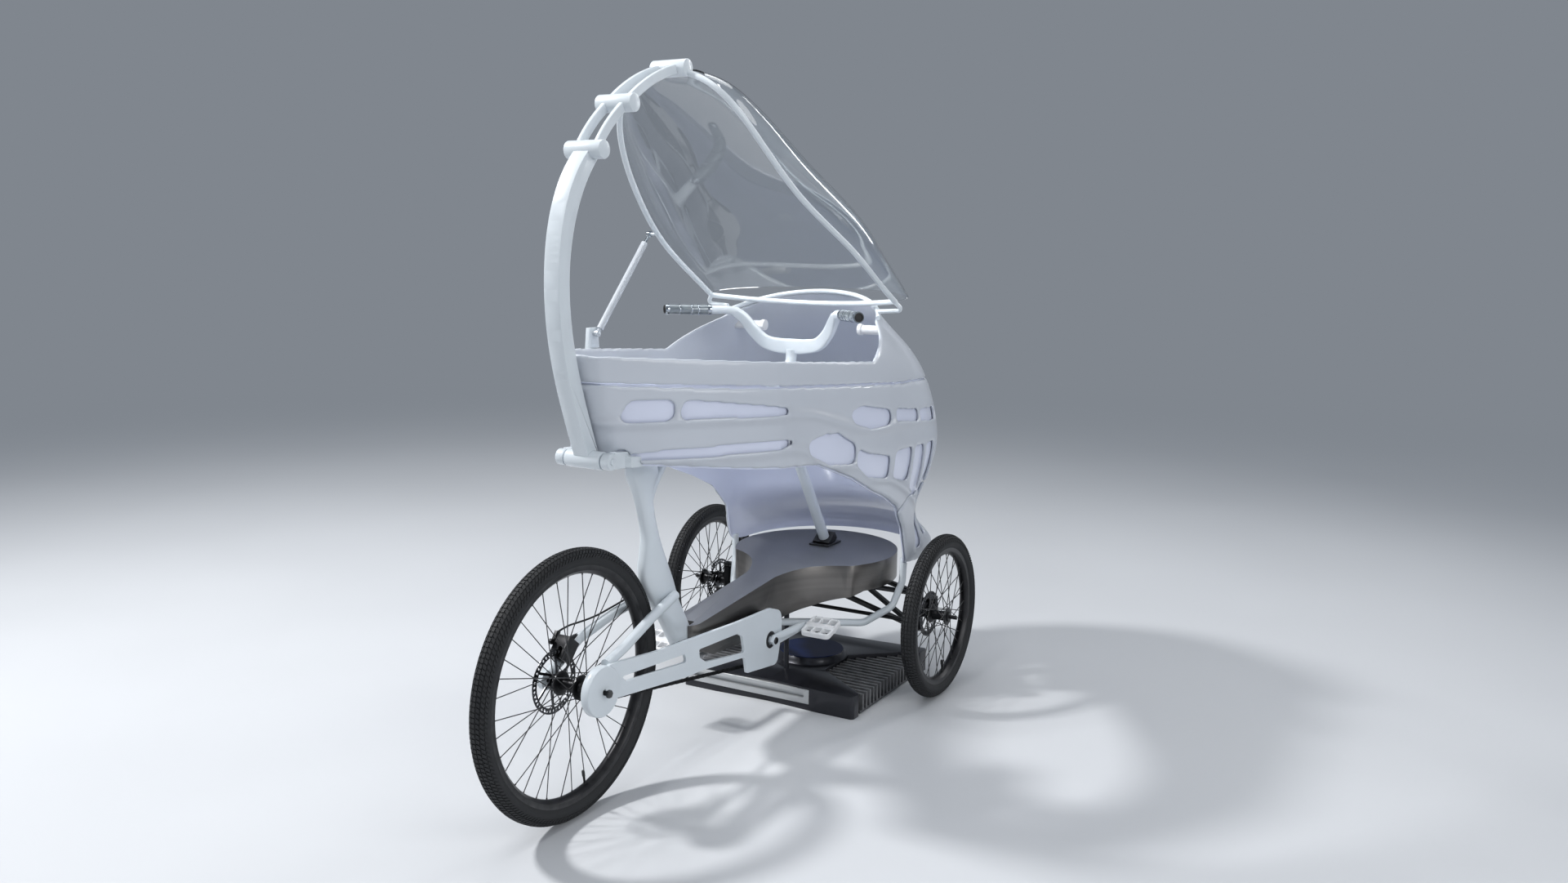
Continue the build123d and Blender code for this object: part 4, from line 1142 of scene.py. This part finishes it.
def filleted(corners, parts=7):
    """Points along a closed outline whose corners are rounded by their own radius."""
    spots = []
    for i, (x, z, radius) in enumerate(corners):
        here = Vector((x, z))
        before = Vector(corners[i - 1][:2]) - here
        after = Vector(corners[(i + 1) % len(corners)][:2]) - here
        half = before.angle(after) / 2
        back = min(radius / math.tan(half), before.length * 0.49, after.length * 0.49)
        start = here + before.normalized() * back
        stop = here + after.normalized() * back
        for k in range(parts + 1):
            t = k / parts
            spots.append(start * (1 - t) ** 2 + here * (2 * t * (1 - t)) + stop * t**2)
    return spots


def cut_sheet(name, loops, thick, edge, material, place):
    """A sheet in the XY plane, cut along the outline and the openings (mm), then put in its place."""
    line_data = bpy.data.curves.new(name, "CURVE")
    line_data.dimensions = "2D"
    line_data.fill_mode = "BOTH"
    line_data.extrude = thick / 2 - edge
    line_data.bevel_depth = edge
    line_data.bevel_resolution = 2
    line_data.offset = -edge
    for loop in loops:
        line = line_data.splines.new("POLY")
        line.points.add(len(loop) - 1)
        for point, spot in zip(line.points, loop):
            point.co = (spot[0] / 1000, spot[1] / 1000, 0, 1)
        line.use_cyclic_u = True
    cutter = linked(name, line_data)
    mesh = plain_mesh(cutter)
    bpy.data.objects.remove(cutter)
    mesh.transform(place)
    mesh.materials.clear()
    mesh.materials.append(material)
    return linked(name, mesh)


def circle_loop(x, y, radius):
    """Points round a hole."""
    return [(x + radius * math.cos(a), y + radius * math.sin(a)) for a in turns_of(32)]


side_view = Matrix.Translation((-rear_axle, -0.093, 0)) @ Matrix.Rotation(math.pi / 2, 4, "X")
plate_loops = [filleted(plate_outline)] + [filleted(hole) for hole in plate_openings] + [circle_loop(784, 251, 13)]
plate = cut_sheet("drive_plate_cut", plate_loops, 0.010, 0.0012, powder_white, side_view)
drum_half = ((0.0065, -0.012), (0.058, -0.012), (0.0605, -0.0112), (0.062, -0.009))
drum = lathe("drive_plate_drum", from_axle(0, -0.090, 0.337), both_sides(drum_half), 72, powder_white)
carried(plate, "frame", "white_paint", "drive_plate")
carried(drum, "frame", "white_paint")

# %% [markdown]
# ## Pedals
# A platform pedal is moulded ABS: a frame, a boss over the axle and ribs between them, with
# short pins on the rails so that a sole can't slip. It hangs a little nose down on its axle.

# %% Pedals
pedal_outline = ((-46, -48, 16), (46, -48, 16), (46, 48, 16), (-46, 48, 16))
pedal_openings = []
for x0, x1 in ((-37, -12), (12, 37)):
    for y0, y1 in ((-40, -17), (-12, 12), (17, 40)):
        pedal_openings.append(((x0, y0, 5), (x1, y0, 5), (x1, y1, 5), (x0, y1, 5)))
boss_section = both_sides(((0.0045, -0.046), (0.011, -0.046), (0.012, -0.044)))
pin_section = ((0.0002, 0.0), (0.0022, 0.0), (0.0018, 0.0035), (0.0002, 0.0035))
pin_places = [(x, y) for x in (-41.5, 41.5) for y in (-36, -14, 14, 36)]
pedal_tilt = math.radians(-16)
crank_long = 0.178
spindle_x, spindle_z = 0.784, 0.251
upward = (0, 0, 1)
for side, turn, label in ((-1, 1, "right"), (1, -1, "left")):
    place = Matrix.Translation(from_axle(spindle_x + turn * crank_long, side * 0.168, spindle_z))
    place = place @ Matrix.Rotation(pedal_tilt, 4, "Y")
    loops = [filleted(pedal_outline)] + [filleted(hole) for hole in pedal_openings]
    tread_frame = cut_sheet("pedal_frame_" + label, loops, 0.016, 0.0025, white_abs, place)
    boss = lathe("pedal_boss_" + label, (0, 0, 0), boss_section, 28, white_abs)
    boss.data.transform(place)
    carried(tread_frame, body_of["pedal_" + label], "white_plastic", "pedal_" + label)
    carried(boss, body_of["pedal_" + label], "white_plastic")
    for i, (x, y) in enumerate(pin_places):
        pin = lathe("pedal_pin_%s_%d" % (label, i), (x / 1000, y / 1000, 0.0075), pin_section, 8, white_abs, upward)
        pin.data.transform(place)
        carried(pin, body_of["pedal_" + label], "white_plastic")

# %% Caps on the crank spindle and a cup round it
plate_face = -0.098
cap_section = (
    (0.0003, 0.0), (0.0105, 0.0), (0.0105, 0.0015), (0.009, 0.003), (0.0055, 0.003), (0.005, 0.0008), (0.0003, 0.0008)
)
cup_section = ((0.0145, 0.0), (0.025, 0.0), (0.025, 0.0012), (0.0235, 0.002), (0.0155, 0.002), (0.0145, 0.0014))
for side, label in ((-1, "right"), (1, "left")):
    face = from_axle(spindle_x, side * 0.116, spindle_z)
    cap = lathe("spindle_cap_" + label, face, cap_section, 24, black_anodised, (0, side, 0))
    carried(cap, "cranks", "black_anodized")
cup_foot = from_axle(spindle_x, plate_face, spindle_z)
cup = lathe("spindle_cup", cup_foot, cup_section, 40, black_anodised, (0, -1, 0))
carried(cup, "frame", "black_anodized")

# %% A thin dark blue disc on the stand's round pad, a painted reflection of blue lamps
pad_disc_section = ((0.0003, 0.0), (0.103, 0.0), (0.1035, 0.001), (0.102, 0.0025), (0.0003, 0.0025))
lens = lathe("stand_cover_glass", from_axle(1.215, 0, 0.0895), pad_disc_section, 64, pad_disc_painted_reflection, upward)
carried(lens, "frame", "dark_steel")

# %% [markdown]
# ## The chain
# A roller chain repeats every 12.7 mm: a pair of outer plates, then a pair of inner ones,
# joined by rollers. The loop is two straight runs and two arcs, so its places are worked
# out from the sprocket and the chainring, and the links are placed along it at that pitch.

# %% Chain tree
chain_tree = nodes_tree(
    "links_along_a_loop",
    (("Count", "NodeSocketInt", 150), ("Steel", "NodeSocketMaterial", None), ("Link", "NodeSocketObject", None)),
)
given = add_node(chain_tree, "NodeGroupInput").outputs
route = add_node(chain_tree, "GeometryNodeMeshToCurve", Mesh=given["Geometry"])
evenly = add_node(chain_tree, "GeometryNodeResampleCurve", Curve=route.outputs[0], Count=given["Count"])
along = add_node(chain_tree, "GeometryNodeInputTangent").outputs[0]
axes = {"axis": "X", "pivot_axis": "Y"}
aimed = add_node(chain_tree, "FunctionNodeAlignRotationToVector", axes, Vector=along).outputs[0]
link_shape = add_node(chain_tree, "GeometryNodeObjectInfo", Object=given["Link"]).outputs["Geometry"]
end_tree(chain_tree, instances(chain_tree, evenly.outputs[0], link_shape, aimed), given["Steel"])


# %% Make the chain
plate_radius = 0.0042
plate_thick = 0.0009


def box_middle(node_name):
    """The middle of the CAD node's box."""
    low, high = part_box(node_name)
    return (low + high) / 2


def link_pair(pitch):
    """An outer and an inner link with their rollers, two pitches long, around the origin along X."""
    shape = bmesh.new()
    for start, half_gap in ((-pitch, 0.0031), (0.0, 0.0021)):
        for side in (-1, 1):
            rows = []
            for y in (side * half_gap, side * (half_gap + plate_thick)):
                row = []
                for a in turns_of(12):
                    end = start + (pitch if math.cos(a) > 0 else 0)
                    row.append(shape.verts.new((end + plate_radius * math.cos(a), y, plate_radius * math.sin(a))))
                rows.append(row)
            shape.faces.new(rows[0])
            shape.faces.new(rows[1])
            for k in range(12):
                j = (k + 1) % 12
                shape.faces.new((rows[0][k], rows[0][j], rows[1][j], rows[1][k]))
    roller = {"segments": 8, "radius1": 0.0036, "radius2": 0.0036, "depth": 0.0046}
    for x in (-pitch, 0.0):
        turned = Matrix.Translation((x, 0, 0)) @ Matrix.Rotation(math.pi / 2, 4, "X")
        bmesh.ops.create_cone(shape, cap_ends=True, matrix=turned, **roller)
    bmesh.ops.recalc_face_normals(shape, faces=shape.faces)
    return built("chain_link", shape)


def chain_route(rear, rear_r, front, front_r, y):
    """Points of the chain's middle line, a closed loop seen from the side."""
    way = Vector((front.x - rear.x, 0, front.z - rear.z))
    lean = math.atan2(way.z, way.x)
    off = math.asin((front_r - rear_r) / way.length)
    spots = []
    for centre, r, begin, end in (
        (front, front_r, lean + math.pi / 2 + off, lean - math.pi / 2 - off),
        (rear, rear_r, lean + 3 * math.pi / 2 - off, lean + math.pi / 2 + off),
    ):
        for k in range(25):
            a = begin + (end - begin) * k / 24
            spots.append((centre.x + r * math.cos(a), y, centre.z + r * math.sin(a)))
    return spots


pitch = 0.0127
plate_reach = 0.0045  # how far the plates stand out past the chain's middle line
rear_hub = box_middle("rear_sprocket")
front_hub = box_middle("crankset")
chain_low, chain_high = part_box("chain")
rear_r = rear_hub.x - chain_low.x - plate_reach
front_r = chain_high.x - front_hub.x - plate_reach
loop = chain_route(rear_hub, rear_r, front_hub, front_r, (chain_low.y + chain_high.y) / 2)
loop_length = sum((Vector(loop[i]) - Vector(loop[i - 1])).length for i in range(len(loop)))
chain = linked("chain_links", bpy.data.meshes.new("chain_links"))
loop_edges = [(i, (i + 1) % len(loop)) for i in range(len(loop))]
chain.data.from_pydata(loop, loop_edges, [])
link = link_pair(pitch)
run_tree(chain, chain_tree, {"Count": round(loop_length / pitch / 2), "Steel": oiled_chain, "Link": link})
bpy.data.objects.remove(link)
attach(chain, "frame")
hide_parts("chain")

# %% [markdown]
# ## The studio
# The floor and the world are plain and pale. A large lamp stands high behind the left
# side, as the daylight did, and a weaker one fills the side that the camera sees.

# %% Floor, world and lamps
floor_mesh = bpy.data.meshes.new("floor")
floor_half = 14
floor_corners = [(a * floor_half, b * floor_half, 0) for a, b in ((-1, -1), (1, -1), (1, 1), (-1, 1))]
floor_mesh.from_pydata(floor_corners, [], [(0, 1, 2, 3)])
backdrop_colour = hex_linear("#80868E")
pale_floor = finish("matt_pale_floor", "#C6C8CB", 0.6, spread=0.01, grain_mm=900)
floor_tree = pale_floor.node_tree
place = add_node(floor_tree, "ShaderNodeTexCoord")
away = add_node(floor_tree, "ShaderNodeVectorMath", {"operation": "LENGTH"}, _0=place.outputs["Object"])
fade = {"From_Min": 2.2, "From_Max": 9.0}
soft_step = {"interpolation_type": "SMOOTHSTEP"}
faded = add_node(floor_tree, "ShaderNodeMapRange", soft_step, Value=away.outputs["Value"], **fade)
glow = add_node(floor_tree, "ShaderNodeEmission", Color=backdrop_colour)
painted = principled(pale_floor).outputs[0]
both = add_node(floor_tree, "ShaderNodeMixShader", _0=faded.outputs[0], _1=painted, _2=glow.outputs[0])
floor_tree.links.new(both.outputs[0], floor_tree.nodes["Material Output"].inputs["Surface"])
floor_mesh.materials.append(pale_floor)
floor = linked("floor", floor_mesh)
world = bpy.data.worlds.new("pale_room")
world.use_nodes = True
sky = world.node_tree
way_out = add_node(sky, "ShaderNodeTexCoord")
sky_parts = add_node(sky, "ShaderNodeSeparateXYZ", Vector=way_out.outputs["Generated"])
height = add_node(sky, "ShaderNodeMapRange", Value=sky_parts.outputs["Z"], From_Min=0.0, From_Max=0.8)
room = mixed(sky, height.outputs[0], hex_linear("#CDD2D8"), hex_linear("#8E97A3"))
kind = add_node(sky, "ShaderNodeLightPath").outputs
seen_through = maths(sky, "MAXIMUM", kind["Is Camera Ray"], kind["Is Transmission Ray"])
seen = maths(sky, "MAXIMUM", seen_through, kind["Is Glossy Ray"])
level_now = add_node(sky, "ShaderNodeMapRange", Value=seen, To_Min=0.8, To_Max=1.0)
background = sky.nodes["Background"]
sky.links.new(mixed(sky, seen, room, backdrop_colour), background.inputs["Color"])
sky.links.new(level_now.outputs[0], background.inputs["Strength"])
bpy.context.scene.world = world


def soft_lamp(name, place, aim, size, watts, long=0.0):
    """A round lamp, or a strip where it has a length, turned to its aim."""
    data = bpy.data.lights.new(name, "AREA")
    data.shape = "RECTANGLE" if long else "DISK"
    data.size = size
    if long:
        data.size_y = long
    data.energy = watts
    lamp = linked(name, data)
    way = Vector(aim) - Vector(place)
    lamp.matrix_world = Matrix.Translation(place) @ way.to_track_quat("-Z", "Y").to_matrix().to_4x4()


soft_lamp("daylight_key", (-1.8, 3.4, 4.6), (0.2, 0, 0.5), 0.6, 300)
soft_lamp("camera_side_fill", (-1.5, -4.5, 2.6), (0, 0, 0.8), 3.0, 75)
soft_lamp("top_fill", (0.6, 0.2, 5.0), (0.2, 0, 0.8), 3.0, 60)
soft_lamp("strip_ahead", (3.4, -1.6, 3.2), (0, 0, 1.4), 0.25, 30, 3.0)
soft_lamp("strip_behind", (-2.6, -0.2, 4.2), (0, 0, 1.4), 0.2, 25, 2.6)
